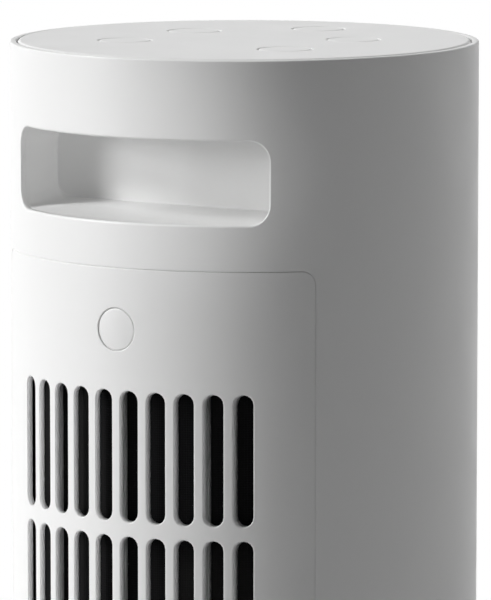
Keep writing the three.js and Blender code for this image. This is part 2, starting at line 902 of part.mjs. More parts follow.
// Two arms that reach inwards beside the button and carry the bar behind which the keeper hooks
function coverCatch() {
  const back = catchBarBack();
  const height = [catchTop - catchHeight, catchTop];
  const half = catchSpan / 2;
  const deep = [back - catchBar, grilleInner + mergeDepth];
  return joined([
    block([-half, catchArm - half], deep, height),
    block([half - catchArm, half], deep, height),
    block([-half, half], [back - catchBar, back], height),
  ]);
}

function catchBarBack() {
  return grilleInner - catchReach;
}

function releaseButton() {
  const radius = releaseDiameter / 2;
  const back = grilleInner - sleeveLength - keeperClear;
  const profile = [
    [0, back - releaseFlangeThickness],
    [releaseFlange / 2, back - releaseFlangeThickness],
    [releaseFlange / 2, back],
    [radius, back],
    [radius, towerRadius - releaseRound],
    [radius - releaseRound, towerRadius],
    [0, towerRadius],
  ];
  const rampFoot = keeperEnd() + fitGap;
  const noseFoot = catchTop + keeperClear - fitGap;
  const nose = shapeOf([
    [back, noseFoot - noseHeight],
    [back, noseFoot + releaseTravel],
    [rampFoot + releaseTravel, noseFoot + releaseTravel],
    [rampFoot, noseFoot],
    [rampFoot, noseFoot - noseHeight],
  ]);
  const knob = turned(profile, smallRound).rotate([-90, 0, 0]).translate([0, 0, releaseHeight]);
  return knob.add(alongX(nose, noseWidth));
}

function keeperEnd() {
  return grilleInner - sleeveLength - keeperClear - releaseFlangeThickness - noseBehind - fitGap;
}

// Spring strip on its post: it hooks down behind the cover's bar
function keeperSpring() {
  const under = catchTop + keeperClear;
  const barb = catchBarBack() + fitGap;
  const strip = shapeOf([
    [keeperRoot, under],
    [barb, under],
    [barb, under - keeperBarbDepth],
    [barb + keeperThickness, under - keeperBarbDepth],
    [barb + keeperThickness, under],
    [keeperEnd(), under],
    [keeperEnd(), under + keeperThickness],
    [keeperRoot, under + keeperThickness],
  ]);
  const hole = discAt(0, keeperScrewY(), boardScrewShank / 2 + screwGap, under - overrun,
    under + overrun, tinyRound);
  return alongX(strip, keeperWidth).subtract(hole);
}

function keeperScrewY() {
  return keeperRoot + keeperPostDepth / 2;
}

// Filter: a thin skin in a border with crossbars, bent to the cover's inside
function dustFilter() {
  const outer = grilleInner - ribDepth - fitGap;
  const inner = outer - filterThickness;
  const bottom = slotBottom - filterMargin;
  const top = slotTop + filterMargin;
  const half = filterHalfWidth;
  const reach = block([-half, half], [0, towerDiameter], [bottom, top]);
  const pitch = (top - bottom) / (filterBars + 1);
  const windows = Array.from({ length: filterBars + 1 }, (_, i) => block(
    [filterBorder - half, half - filterBorder],
    [0, towerDiameter],
    [
      bottom + pitch * i + (i ? filterBarHeight / 2 : filterBorder),
      bottom + pitch * (i + 1) - (i < filterBars ? filterBarHeight / 2 : filterBorder),
    ],
  ));
  const border = cutBy(ring(inner, outer, bottom, top, shelfRound), windows);
  const middle = (inner + outer) / 2;
  const skin = ring(middle - filterSkin / 2, middle + filterSkin / 2, bottom, top, shelfRound);
  return border.add(skin).intersect(reach);
}

function outletGrille() {
  const panel = slottedPanel(grilleHalfWidth, grilleBottom, grilleTop, grilleCorner, grilleColumns);
  return panel.rotate([0, 0, 180]);
}

// Handle recess: a cup behind the shell's opening, cut to the shell's inside
function handleCup() {
  const outer = roundedOutline(handleHalfWidth + cupWall, handleBottom - cupWall, handleTop + cupWall,
    handleCorner + cupWall);
  const inner = roundedOutline(handleHalfWidth, handleBottom, handleTop, handleCorner);
  const body = alongY(outer, handleBackWall - cupWall, towerDiameter);
  const reach = disc(shellInner - fitGap, handleBottom - handleCorner, handleTop + handleCorner, bigRound);
  return body.intersect(reach).subtract(alongY(inner, handleBackWall, towerDiameter));
}

// Round top panel with a skirt, button holes and posts for the control board
function topPanel() {
  const radius = shellInner - panelGroove;
  const edge = [];
  for (let i = 0; i <= edgeSteps; i += 1) {
    const angle = Math.PI / 2 * i / edgeSteps;
    edge.push([
      radius - panelRound + panelRound * Math.cos(angle),
      panelTop - panelRound + panelRound * Math.sin(angle),
    ]);
  }
  const profile = [
    [0, panelUnder],
    [radius - panelSkirt, panelUnder],
    [radius - panelSkirt, panelSeat],
    [radius, panelSeat],
    ...edge,
    [0, panelTop],
  ];
  const posts = roundThe(boardPostCircle, boardPostCount, 90).map(({ x, y }) => {
    const post = discAt(x, y, boardPostDiameter / 2, boardTop, panelTop - panelThickness / 2, tinyRound);
    return post.subtract(discAt(x, y, boardScrewShank / 2 + screwGap, 0, panelUnder - boreRoof, tinyRound));
  });
  const holes = buttonPlaces().map(({ x, y }) => (
    discAt(x, y, buttonDiameter / 2 + buttonGroove, panelUnder - overrun, panelTop + overrun, smallRound)
  ));
  return cutBy(joined([turned(profile, bigRound), ...posts]), holes);
}

function buttonPlaces() {
  return [
    { name: 'power_button', x: 0, y: noseButtonY },
    { name: 'heat_button', x: -frontButtonX, y: frontButtonY },
    { name: 'swing_button', x: frontButtonX, y: frontButtonY },
    { name: 'timer_button', x: -rearButtonX, y: rearButtonY },
    { name: 'warmth_button', x: rearButtonX, y: rearButtonY },
  ];
}

function topButton() {
  const radius = buttonDiameter / 2;
  const flangeTop = panelUnder - buttonFlangeClear;
  const flangeBottom = flangeTop - buttonFlangeThickness;
  const stemBottom = boardTop + tactHeight + buttonTravel + screwGap;
  return turned([
    [0, stemBottom],
    [buttonStem / 2, stemBottom],
    [buttonStem / 2, flangeBottom],
    [radius + buttonFlangeLip, flangeBottom],
    [radius + buttonFlangeLip, flangeTop],
    [radius, flangeTop],
    [radius, panelTop - buttonRound],
    [radius - buttonRound, panelTop],
    [0, panelTop],
  ], smallRound);
}

function controlBoard() {
  const plate = disc(controlBoardDiameter / 2, boardUnder, boardTop, shelfRound);
  const switches = buttonPlaces().map(({ x, y }) => block(
    [x - tactSize / 2, x + tactSize / 2],
    [y - tactSize / 2, y + tactSize / 2],
    [boardTop - boardThickness / 2, boardTop + tactHeight],
  ));
  const holes = roundThe(boardPostCircle, boardPostCount, 90).map(({ x, y }) => (
    discAt(x, y, boardScrewShank / 2 + screwGap, boardUnder - overrun, boardTop + overrun, tinyRound)
  ));
  return cutBy(joined([plate, ...switches]), holes);
}

function displayModule() {
  const across = [-displayWidth / 2, displayWidth / 2];
  return block(across, [-displayDepth / 2, displayDepth / 2], [boardTop, panelUnder - fitGap]);
}

// Shelf plate that clears the frames of both openings
function shelf(bottom) {
  const wide = disc(shellInner - fitGap, bottom, bottom + shelfThickness, shelfRound);
  const round = ring(insideFrame, towerRadius, bottom - overrun, bottom + overrun + overrun, shelfRound);
  const rear = coverHalfWidth + frameBorder + fitGap;
  const front = grilleHalfWidth + frameBorder + fitGap;
  const height = [bottom - overrun, bottom + shelfThickness + overrun];
  const zones = block([-rear, rear], [0, towerDiameter], height)
    .add(block([-front, front], [-towerDiameter, 0], height));
  return wide.subtract(round.intersect(zones));
}

function lowerFanShelf() {
  const hole = discAt(0, fanY, fanShaft, lowerShelf - overrun, lowerShelfTop + overrun, smallRound);
  return shelf(lowerShelf).subtract(hole);
}

function upperFanShelf() {
  const post = block(
    [-keeperPostWidth / 2, keeperPostWidth / 2],
    [keeperRoot, keeperRoot + keeperPostDepth],
    [upperShelf + shelfThickness / 2, catchTop + keeperClear],
  );
  const bushHole = discAt(0, fanY, fanShaft / 2 + bushWall + fitGap, 0, towerHeight, smallRound);
  const screwHole = discAt(0, keeperScrewY(), boardScrewShank / 2 + screwGap,
    catchTop - boardScrewLength - overrun, towerHeight, tinyRound);
  return shelf(upperShelf).add(post).subtract(bushHole).subtract(screwHole);
}

function shaftBush() {
  const inner = fanShaft / 2 + runningGap;
  const neck = fanShaft / 2 + bushWall;
  const top = upperShelfTop + bushFlangeHeight;
  return turned([
    [inner, upperShelf],
    [neck, upperShelf],
    [neck, upperShelfTop],
    [neck + bushFlange, upperShelfTop],
    [neck + bushFlange, top],
    [inner, top],
    [inner, upperShelf],
  ], smallRound);
}

// Crossflow impeller: leaning blades between plates and rings, with a pin at the top
function fanImpeller() {
  const radius = impellerDiameter / 2;
  const bottom = lowerShelfTop + impellerClear;
  const top = upperShelf - impellerClear;
  const pitch = (top - bottom - impellerPlate) / (impellerRings + 1);
  const inner = radius - bladeLength;
  const parts = [];
  for (let i = 0; i <= impellerRings + 1; i += 1) {
    const low = bottom + pitch * i;
    const high = low + impellerPlate;
    const solidPlate = i === 0 || i > impellerRings;
    const plate = disc(radius, low, high, smallRound);
    parts.push(solidPlate ? plate : plate.subtract(disc(inner, low - overrun, high + overrun, smallRound)));
  }
  parts.push(disc(impellerHub / 2, bottom, bottom + impellerHubHeight, smallRound));
  parts.push(disc(fanShaft / 2, top - impellerPlate, upperShelfTop + bushFlangeHeight, smallRound));
  const half = bladeThickness / 2;
  const reach = radius - bladeThickness;
  for (let i = 0; i < bladeCount; i += 1) {
    const blade = block([0, bladeLength - bladeThickness], [-half, half], [bottom + half, top - half]);
    const leaned = blade.rotate([0, 0, bladeLean]);
    const inset = reach - (bladeLength - bladeThickness) * Math.cos(radians(bladeLean));
    parts.push(leaned.translate([inset, 0, 0]).rotate([0, 0, 360 * i / bladeCount]));
  }
  const boreTop = bottom + impellerHubHeight - overrun;
  const bore = disc(fanShaft / 2 + runningGap, bottom - overrun, boreTop, smallRound);
  return joined(parts).subtract(bore);
}

// Fan motor: a can with an open top under the lower shelf, and its rotor with the shaft
function fanMotor() {
  const radius = fanMotorDiameter / 2;
  const inner = radius - fanMotorWall;
  const bottom = lowerShelf - fanMotorHeight;
  const flange = radius + fanMotorFlange;
  return turned([
    [0, bottom],
    [radius, bottom],
    [radius, lowerShelf - fanMotorFlangeHeight],
    [flange, lowerShelf - fanMotorFlangeHeight],
    [flange, lowerShelf],
    [inner, lowerShelf],
    [inner, bottom + fanMotorLid],
    [0, bottom + fanMotorLid],
  ], smallRound);
}

function motorRotor() {
  const rotor = fanMotorDiameter / 2 - fanMotorWall - rotorClear - rotorClear;
  const bottom = lowerShelf - fanMotorHeight + fanMotorLid + rotorClear;
  const top = lowerShelf - rotorMargin;
  const tip = lowerShelfTop + impellerClear + impellerHubHeight - overrun - fitGap;
  return turned([
    [0, bottom],
    [fanShaft / 2, bottom],
    [rotor, bottom + rotorMargin],
    [rotor, top],
    [fanShaft / 2, top],
    [fanShaft / 2, tip],
    [0, tip],
  ], smallRound);
}

// Thin upright wall that follows a line in plan
function guideWall(path) {
  const half = guideThickness / 2;
  const sides = path.map(([x, y], i) => {
    const before = path[Math.max(i - 1, 0)];
    const after = path[Math.min(i + 1, path.length - 1)];
    const along = new THREE.Vector2(after[0] - before[0], after[1] - before[1]).normalize();
    const step = new THREE.Vector2(-along.y, along.x).multiplyScalar(half);
    return [[x + step.x, y + step.y], [x - step.x, y - step.y]];
  });
  const outline = [...sides.map(([left]) => left), ...sides.map(([, right]) => right).reverse()];
  return upright(shapeOf(outline), lowerShelfTop, upperShelf - fitGap);
}

function fanScroll() {
  const path = [[-guideWingX, guideWingY]];
  for (let i = 0; i <= scrollSteps; i += 1) {
    const share = i / scrollSteps;
    const angle = radians(scrollStartAngle + (scrollEndAngle - scrollStartAngle) * share);
    const clear = scrollStartClear + (scrollEndClear - scrollStartClear) * share;
    const radius = impellerDiameter / 2 + clear;
    path.push([radius * Math.cos(angle), fanY + radius * Math.sin(angle)]);
  }
  path.push([guideThickness - ductHalfWidth, ductBack + fitGap]);
  return guideWall(path);
}

function vortexTongue() {
  return guideWall([
    [guideWingX, guideWingY],
    [tongueX + guideThickness, tongueY + guideThickness],
    [tongueX, tongueY],
    [tongueX, tongueY - guideThickness],
    [ductHalfWidth - guideThickness, ductBack + fitGap],
  ]);
}

// Duct from the fan to the grille, with a crossbar and lips that hold the two elements
function heaterDuct() {
  const top = upperShelf - fitGap;
  const half = ductHalfWidth;
  const inner = half - ductWall;
  const deep = [-towerDiameter, ductBack];
  const bore = [lowerShelfTop + ductWall, top - ductWall];
  const tube = block([-half, half], deep, [lowerShelfTop, top])
    .subtract(block([-inner, inner], [-towerDiameter, overrun], bore));
  const middle = (lowerShelfTop + top) / 2;
  const lipFront = elementBack - elementDepth - fitGap - elementLip;
  const bar = block([-half, half], [lipFront, elementBack], [middle - ductWall / 2, middle + ductWall / 2]);
  const lips = [-1, 1].map((side) => block(
    side < 0 ? [-half, elementLip - inner] : [inner - elementLip, half],
    [lipFront, lipFront + elementLip],
    [lowerShelfTop, top],
  ));
  return joined([tube, bar, ...lips]).intersect(disc(insideFrame, 0, towerHeight, shelfRound));
}

// Heating element: a ceramic block with upright fins, one below and one above the crossbar
function heatingElement(place) {
  const low = lowerShelfTop + ductWall;
  const high = upperShelf - fitGap - ductWall;
  const middle = (lowerShelfTop + upperShelf - fitGap) / 2;
  const bottom = place ? middle + ductWall / 2 : low;
  const top = place ? high - fitGap : middle - ductWall / 2 - fitGap;
  const half = ductHalfWidth - ductWall - fitGap;
  const body = block([-half, half], [elementBack - elementDepth, elementBack], [bottom, top]);
  const pitch = (half - elementRim) * 2 / elementSlots;
  const cuts = Array.from({ length: elementSlots }, (_, i) => {
    const x = elementRim - half + pitch * (i + (1 - elementSlotShare) / 2);
    const across = [x, x + pitch * elementSlotShare];
    return block(across, [-towerDiameter, 0], [bottom + elementRim, top - elementRim]);
  });
  return cutBy(body, cuts);
}

function thermalCutout() {
  const radius = cutoutDiameter / 2;
  const geometry = new THREE.CylinderGeometry(radius, radius, cutoutHeight, smallRound);
  geometry.rotateZ(Math.PI / 2);
  geometry.translate(ductHalfWidth + cutoutHeight / 2, elementBack - elementDepth / 2, cutoutZ);
  return solidFrom(geometry);
}

function thermalFuse() {
  const x = ductHalfWidth + fuseDiameter / 2 + runningGap;
  return discAt(x, elementBack - elementDepth / 2, fuseDiameter / 2, fuseZ, fuseZ + fuseLength, tinyRound);
}

function roomSensor() {
  return block(
    [sensorX - sensorWidth / 2, sensorX + sensorWidth / 2],
    [sensorY - sensorDepth / 2, sensorY + sensorDepth / 2],
    [lowerShelf - sensorHeight, lowerShelf],
  );
}

// Base group: everything that stays on the floor
const base = new THREE.Group();
base.add(piece('base_weight_plate', weightPlate(), finishes.steel));
base.add(piece('base_cover', baseCover(), finishes.white));
roundThe(footCircle, footCount, 45).forEach(({ x, y }, i) => {
  base.add(piece(`foot_${i + 1}`, foot(), finishes.rubber, x, y));
});
roundThe(basePostCircle, basePostCount, 90).forEach(({ x, y }, i) => {
  const body = screw(screwShank, screwHead, screwHeadHeight, screwLength);
  base.add(piece(`base_screw_${i + 1}`, body, finishes.steel, x, y, footHeight));
});
base.add(piece('glide_ring', glideRing(), finishes.natural));
base.add(piece('swing_gear', swingGear(), finishes.natural));
base.add(piece('axle_clip', axleClip(), finishes.steel));
base.add(piece('cord_gland', cordGland(), finishes.rubber));
base.add(piece('tip_plunger', tipPlunger(), finishes.black, plungerX, plungerY));
base.add(piece('tip_switch', tipSwitch(), finishes.black, plungerX, plungerY));

// Tower group: everything that swings
const tower = new THREE.Group();
tower.add(piece('outer_shell', outerShell(), finishes.white));
tower.add(piece('tower_floor', towerFloor(), finishes.white));
roundThe(lugCircle, lugCount, lugStartAngle).forEach(({ x, y }, i) => {
  const body = screw(screwShank, screwHead, screwHeadHeight, screwLength);
  tower.add(piece(`tower_screw_${i + 1}`, body, finishes.steel, x, y, floorBottom));
});
tower.add(piece('swing_motor', swingMotor(), finishes.steel));
tower.add(piece('swing_pinion', swingPinion(), finishes.natural, 0, -swingCentre));
tower.add(piece('power_board', powerBoard(), finishes.board));
tower.add(piece('lower_fan_shelf', lowerFanShelf(), finishes.black));
tower.add(piece('upper_fan_shelf', upperFanShelf(), finishes.black));
tower.add(piece('room_sensor', roomSensor(), finishes.black));
tower.add(piece('fan_motor', fanMotor(), finishes.steel, 0, fanY));
tower.add(piece('motor_rotor', motorRotor(), finishes.steel, 0, fanY));
tower.add(piece('fan_impeller', fanImpeller(), finishes.black, 0, fanY));
tower.add(piece('shaft_bush', shaftBush(), finishes.natural, 0, fanY));
tower.add(piece('fan_scroll', fanScroll(), finishes.black));
tower.add(piece('vortex_tongue', vortexTongue(), finishes.black));
tower.add(piece('heater_duct', heaterDuct(), finishes.black));
tower.add(piece('heating_element_1', heatingElement(0), finishes.aluminium));
tower.add(piece('heating_element_2', heatingElement(1), finishes.aluminium));
tower.add(piece('thermal_cutout', thermalCutout(), finishes.ceramic));
tower.add(piece('thermal_fuse', thermalFuse(), finishes.ceramic));
tower.add(piece('outlet_grille', outletGrille(), finishes.white));
tower.add(piece('handle_cup', handleCup(), finishes.white));
tower.add(piece('keeper_spring', keeperSpring(), finishes.steel));
const keeperScrew = screw(boardScrewShank, boardScrewHead, boardScrewHeadHeight, boardScrewLength);
const keeperScrewTop = catchTop + keeperClear + keeperThickness;
tower.add(piece('keeper_screw', keeperScrew.rotate([180, 0, 0]), finishes.steel, 0, keeperScrewY(),
  keeperScrewTop));

// Head group: panel, buttons and what is under them
const head = new THREE.Group();
head.add(piece('top_panel', topPanel(), finishes.white));
buttonPlaces().forEach(({ name, x, y }) => {
  head.add(piece(name, topButton(), finishes.white, x, y));
});
head.add(piece('control_board', controlBoard(), finishes.board));
head.add(piece('display_module', displayModule(), finishes.smoked));
roundThe(boardPostCircle, boardPostCount, 90).forEach(({ x, y }, i) => {
  const body = screw(boardScrewShank, boardScrewHead, boardScrewHeadHeight, boardScrewLength);
  head.add(piece(`board_screw_${i + 1}`, body, finishes.steel, x, y, boardUnder));
});
tower.add(head);

// Cover group: what tilts out at the rear
const cover = new THREE.Group();
cover.add(piece('rear_cover', rearCover(), finishes.white));
cover.add(piece('dust_filter', dustFilter(), finishes.mesh));
cover.add(piece('release_button', releaseButton(), finishes.white));
tower.add(cover);

const group = new THREE.Group();
group.add(base, tower);

export default group;
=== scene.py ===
from math import asin, ceil, cos, degrees, hypot, pi, radians, sin, sqrt

import bmesh
import bpy
from mathutils import Matrix, Vector


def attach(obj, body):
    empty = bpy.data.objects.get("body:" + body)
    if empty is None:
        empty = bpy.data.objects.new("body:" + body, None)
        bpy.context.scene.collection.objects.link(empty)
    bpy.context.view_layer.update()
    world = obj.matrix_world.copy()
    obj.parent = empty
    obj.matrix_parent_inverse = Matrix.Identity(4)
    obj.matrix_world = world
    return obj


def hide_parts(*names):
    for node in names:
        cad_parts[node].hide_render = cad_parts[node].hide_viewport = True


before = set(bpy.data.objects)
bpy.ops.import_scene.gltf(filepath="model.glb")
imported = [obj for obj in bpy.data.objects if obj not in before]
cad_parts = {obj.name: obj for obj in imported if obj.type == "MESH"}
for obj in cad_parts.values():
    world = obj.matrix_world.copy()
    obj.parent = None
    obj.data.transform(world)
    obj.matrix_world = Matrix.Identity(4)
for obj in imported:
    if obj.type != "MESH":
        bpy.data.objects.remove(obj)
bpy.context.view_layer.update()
millimetre = 0.001

meshValues = {
    "merge": 1e-4, "tiny": 1e-5, "sharpAngle": 32,  # the angle is in degrees
    "support": 0.15,  # an extra row behind a rounded edge keeps the shading even
    "straightCuts": 52, "radialCuts": 75,  # degrees from the rear or the front
    "onWall": 0.001, "onTop": 0.0005, "clear": 0.01,  # how near a place counts as on a face, or off it
    "leastCorner": 1,
}


def startMesh():
    bm = bmesh.new()
    bm.verts.layers.float_vector.new("side")  # the way a row's offset moves the vertex
    bm.verts.layers.float_vector.new("corner")  # the corner of the outline that it belongs to
    return bm


def arcRows(size, steps, outwards=1):
    # rows of a rounded edge, from the skin down to the wall, as offset and depth
    turns = [radians(90 * i / steps) for i in range(steps + 1)]
    return [(outwards * size * (1 - sin(turn)), size * (1 - cos(turn))) for turn in turns]


def quarterRound(across, up, size, steps=6, way=1):
    # points of a quarter circle about its centre, from its top, or its bottom, to its side
    turns = [radians(90 * i / steps) for i in range(steps + 1)]
    return [(across + size * sin(turn), up + way * size * cos(turn)) for turn in turns]


def placeRow(bm, verts, shape, offset, depth):
    side = bm.verts.layers.float_vector["side"]
    corner = bm.verts.layers.float_vector["corner"]
    bend = max(shape["corner"] + offset, meshValues["leastCorner"])
    for vert in verts:
        way, out = vert[corner], vert[side]
        across = way.x * (shape["halfWidth"] + offset - bend) + out.x * bend
        upwards = way.z * (shape["halfHeight"] + offset - bend) + out.z * bend
        vert.co = (shape["u"] + across, depth, shape["z"] + upwards)


def nextRow(bm, edges):
    made = bmesh.ops.extrude_edge_only(bm, edges=edges)["geom"]
    verts = {item for item in made if isinstance(item, bmesh.types.BMVert)}
    edges = [item for item in made if isinstance(item, bmesh.types.BMEdge) and verts.issuperset(item.verts)]
    return list(verts), edges


def outline(bm, shape, rows):
    # a circle pulled apart into the outline's corners, then extruded row by row
    side = bm.verts.layers.float_vector["side"]
    corner = bm.verts.layers.float_vector["corner"]
    if shape["halfWidth"] > shape["corner"]:
        ways = [(1, 1), (-1, 1), (-1, -1), (1, -1)]
    elif shape["halfHeight"] > shape["corner"]:
        ways = [(0, 1), (0, -1)]
    else:
        ways = [(0, 0)]
    steps = shape["steps"]
    verts = bmesh.ops.create_circle(bm, segments=len(ways) * steps, radius=1)["verts"]
    for i, vert in enumerate(verts):
        share = i % steps / (steps - 1 if len(ways) > 1 else steps)
        turn = 2 * pi / len(ways) * (i // steps + share)
        vert[side] = (cos(turn), 0, sin(turn))
        vert[corner] = (ways[i // steps][0], 0, ways[i // steps][1])
    placeRow(bm, verts, shape, *rows[0])
    # in one order, because a set's order changes from run to run, and the filled faces with it
    first = edges = list(dict.fromkeys(edge for vert in verts for edge in vert.link_edges))
    for row in rows[1:]:
        verts, edges = nextRow(bm, edges)
        placeRow(bm, verts, shape, *row)
    return first, edges


def strip(bm, left, right, path):
    # a straight edge across the slab, extruded along a path of height and depth
    ends = [bm.verts.new((u, path[0][1], path[0][0])) for u in (left, right)]
    first = edges = [bm.edges.new(ends)]
    for height, depth in path[1:]:
        verts, edges = nextRow(bm, edges)
        for vert in verts:
            vert.co.y, vert.co.z = depth, height
    return first, edges


def joinEnds(bm, upper, lower):
    def byPlace(edge):
        return sorted(edge.verts, key=lambda vert: vert.co.x)

    return [bm.edges.new(pair) for pair in zip(byPlace(upper[0]), byPlace(lower[0]))]


def fill(bm, edges):
    bmesh.ops.triangle_fill(bm, use_beauty=True, use_dissolve=False, edges=edges)


def fillSkins(bm, loops):
    # both faces of a plate between its outlines
    for skin in (0, 1):
        fill(bm, [edge for loop in loops for edge in loop[skin]])


def box(bm, left, right, near, far, bottom, top):
    place = Matrix.Translation(((left + right) / 2, (near + far) / 2, (bottom + top) / 2))
    size = Matrix.Diagonal((right - left, far - near, top - bottom, 1))
    return bmesh.ops.create_cube(bm, size=1, matrix=place @ size)["verts"]


def wallSlab(bm, left, right, upperPath, lowerPath, holes):
    # a wall between two skins, closed over its upper and lower ends, with outlines cut through it
    upper, lower = strip(bm, left, right, upperPath), strip(bm, left, right, lowerPath)
    for skin in (0, 1):
        edges = upper[skin] + lower[skin] + joinEnds(bm, upper[skin], lower[skin])
        fill(bm, edges + [edge for hole in holes for edge in hole[skin]])


def cutColumns(bm, left, right, step):
    count = ceil((right - left) / step)
    for i in range(1, count):
        place = (left + (right - left) * i / count, 0, 0)
        everything = bm.verts[:] + bm.edges[:] + bm.faces[:]
        bmesh.ops.bisect_plane(bm, geom=everything, dist=meshValues["tiny"], plane_co=place,
                               plane_no=(1, 0, 0))


def bendRound(bm, radius, straightWalls=True):
    # flat slab to tower wall: u runs round the tower from its rear, and cuts stay straight along Y
    straight, radial = meshValues["straightCuts"], meshValues["radialCuts"]
    for vert in bm.verts:
        angle = vert.co.x / radius
        reach = radius - vert.co.y
        near = (angle + pi / 2) % pi - pi / 2
        if straightWalls and vert.co.y > 0:
            share = min(1, max(0, (radial - abs(degrees(near))) / (radial - straight)))
            angle += share * (asin(max(-1, min(1, radius * sin(near) / reach))) - near)
        vert.co = (reach * sin(angle), reach * cos(angle), vert.co.z)


def layFlat(bm, top):
    # flat slab to a plate in plan, its skin upwards
    for vert in bm.verts:
        vert.co = (vert.co.x, vert.co.z, top - vert.co.y)


def turn(bm, profile, steps=96):
    # spins a profile of radius and height round the upright axis
    verts = [bm.verts.new((radius, 0, height)) for radius, height in profile]
    edges = [bm.edges.new(pair) for pair in zip(verts, verts[1:])]
    bmesh.ops.spin(bm, geom=verts + edges, cent=(0, 0, 0), axis=(0, 0, 1), dvec=(0, 0, 0), angle=2 * pi,
                   steps=steps, use_merge=True, use_duplicate=False)


def finishPiece(bm, name, body, finish, stands=(), skin=None):
    # skin gives the exact normal of a place on a large smooth face, or None elsewhere
    bmesh.ops.remove_doubles(bm, verts=bm.verts, dist=meshValues["merge"])
    bmesh.ops.dissolve_degenerate(bm, edges=bm.edges, dist=meshValues["tiny"])
    bmesh.ops.recalc_face_normals(bm, faces=bm.faces)
    normals = [skin(vert.co) or Vector() for vert in bm.verts] if skin else None
    bmesh.ops.scale(bm, vec=(millimetre,) * 3, verts=bm.verts)
    mesh = bpy.data.meshes.new(name)
    bm.to_mesh(mesh)
    bm.free()
    mesh.shade_smooth()
    mesh.set_sharp_from_angle(angle=radians(meshValues["sharpAngle"]))
    if normals:
        mesh.normals_split_custom_set_from_vertices(normals)
    mesh.materials.append(finish)
    piece = bpy.data.objects.new(name, mesh)
    bpy.context.scene.collection.objects.link(piece)
    if not skin:
        piece.modifiers.new("even shading", "WEIGHTED_NORMAL").keep_sharp = True
    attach(piece, body)
    if stands:
        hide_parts(*stands)
    return piece


def roundSkin(radius):
    def normal(place):
        out = hypot(place.x, place.y)
        onWall = abs(out - radius) < meshValues["onWall"]
        return Vector((place.x, place.y, 0)) / out if onWall else None

    return normal


class Link:
    # a socket that takes part in sums
    def __init__(self, finish, socket):
        self.finish, self.socket = finish, socket

    def maths(self, operation, left, right):
        return self.finish.node("ShaderNodeMath", {"operation": operation}, {0: left, 1: right})

    def __add__(self, other):
        return self.maths("ADD", self, other)

    def __radd__(self, other):
        return self.maths("ADD", other, self)

    def __mul__(self, other):
        return self.maths("MULTIPLY", self, other)

    def __rmul__(self, other):
        return self.maths("MULTIPLY", other, self)


class Nodes:
    # a node tree, and the ways to add to it
    def __init__(self, tree):
        self.tree = tree

    def node(self, kind, settings=None, inputs=None, output=0):
        made = self.tree.nodes.new(kind)
        for name, value in (settings or {}).items():
            setattr(made, name, value)
        for key, value in (inputs or {}).items():
            if isinstance(value, Link):
                self.tree.links.new(value.socket, made.inputs[key])
            else:
                made.inputs[key].default_value = value
        return Link(self, made.outputs[output])

    def spread(self, value, low, high, fromLow=0.3, fromHigh=0.7):
        ends = {"Value": value, "From Min": fromLow, "From Max": fromHigh, "To Min": low, "To Max": high}
        return self.node("ShaderNodeMapRange", None, ends)

    def whiteRays(self):
        # the rays that see the backdrop white: the camera's, and those of gloss and glass
        rays = self.tree.nodes.new("ShaderNodeLightPath").outputs
        seen = Link(self, rays["Is Camera Ray"])
        for kind in ("Is Glossy Ray", "Is Transmission Ray"):
            seen = seen.maths("MAXIMUM", seen, Link(self, rays[kind]))
        return seen


class Finish(Nodes):
    def __init__(self, name, values):
        self.material = bpy.data.materials.new(name)
        self.material.use_nodes = True
        super().__init__(self.material.node_tree)
        self.shader = self.tree.nodes["Principled BSDF"]
        for socket, value in values.items():
            self.shader.inputs[socket].default_value = value
        self.material.diffuse_color = self.shader.inputs["Base Color"].default_value

    def feed(self, socket, link):
        self.tree.links.new(link.socket, self.shader.inputs[socket])

    def place(self):
        return self.node("ShaderNodeTexCoord", output="Object")

    def noise(self, place, scale, detail=2.0):
        return self.node("ShaderNodeTexNoise", None, {"Vector": place, "Scale": scale, "Detail": detail})

    def between(self, share, first, second):
        mix = {"data_type": "RGBA"}
        return self.node("ShaderNodeMix", mix, {"Factor": share, 6: first, 7: second}, output=2)

    def bump(self, height, strength, distance):
        self.feed("Normal", self.node("ShaderNodeBump", None, {
            "Height": height, "Strength": strength, "Distance": distance}))


plasticValues = {
    "flow": 14.0, "patches": 45.0, "glossSpread": 0.05,
    "grainDepth": 0.03, "dashCore": 0.3, "dashEnd": 0.8,  # millimetres
    "dashShade": 0.965,
}


def plastic(name, colour, other, roughness, grain, grainScale=2600.0, coat=0.0, index=1.46, marks=(),
            scatter=0.0):
    # moulded plastic: fine grain, faint flow marks in colour and gloss, and dashes where some are given
    values = {"Base Color": (*colour, 1), "Roughness": roughness, "Coat Weight": coat, "IOR": index}
    if scatter:  # how far light goes inside it, in metres
        values["Subsurface Weight"] = 1.0
        values["Subsurface Radius"] = (1, 1, 1)
        values["Subsurface Scale"] = scatter
    finish = Finish(name, values)
    place = finish.place()
    flow = finish.noise(place, plasticValues["flow"], 3.0)
    shade = finish.between(finish.spread(flow, 0, 1), (*colour, 1), (*other, 1))
    if marks:
        darker = [part * plasticValues["dashShade"] for part in colour]
        shade = finish.between(dashes(finish, place, marks), shade, (*darker, 1))
    finish.feed("Base Color", shade)
    patches, spread = finish.noise(place, plasticValues["patches"], 4.0), plasticValues["glossSpread"]
    finish.feed("Roughness", finish.spread(patches, roughness - spread, roughness + spread))
    finish.bump(finish.noise(place, grainScale, 1.0), grain, plasticValues["grainDepth"] * millimetre)
    return finish.material


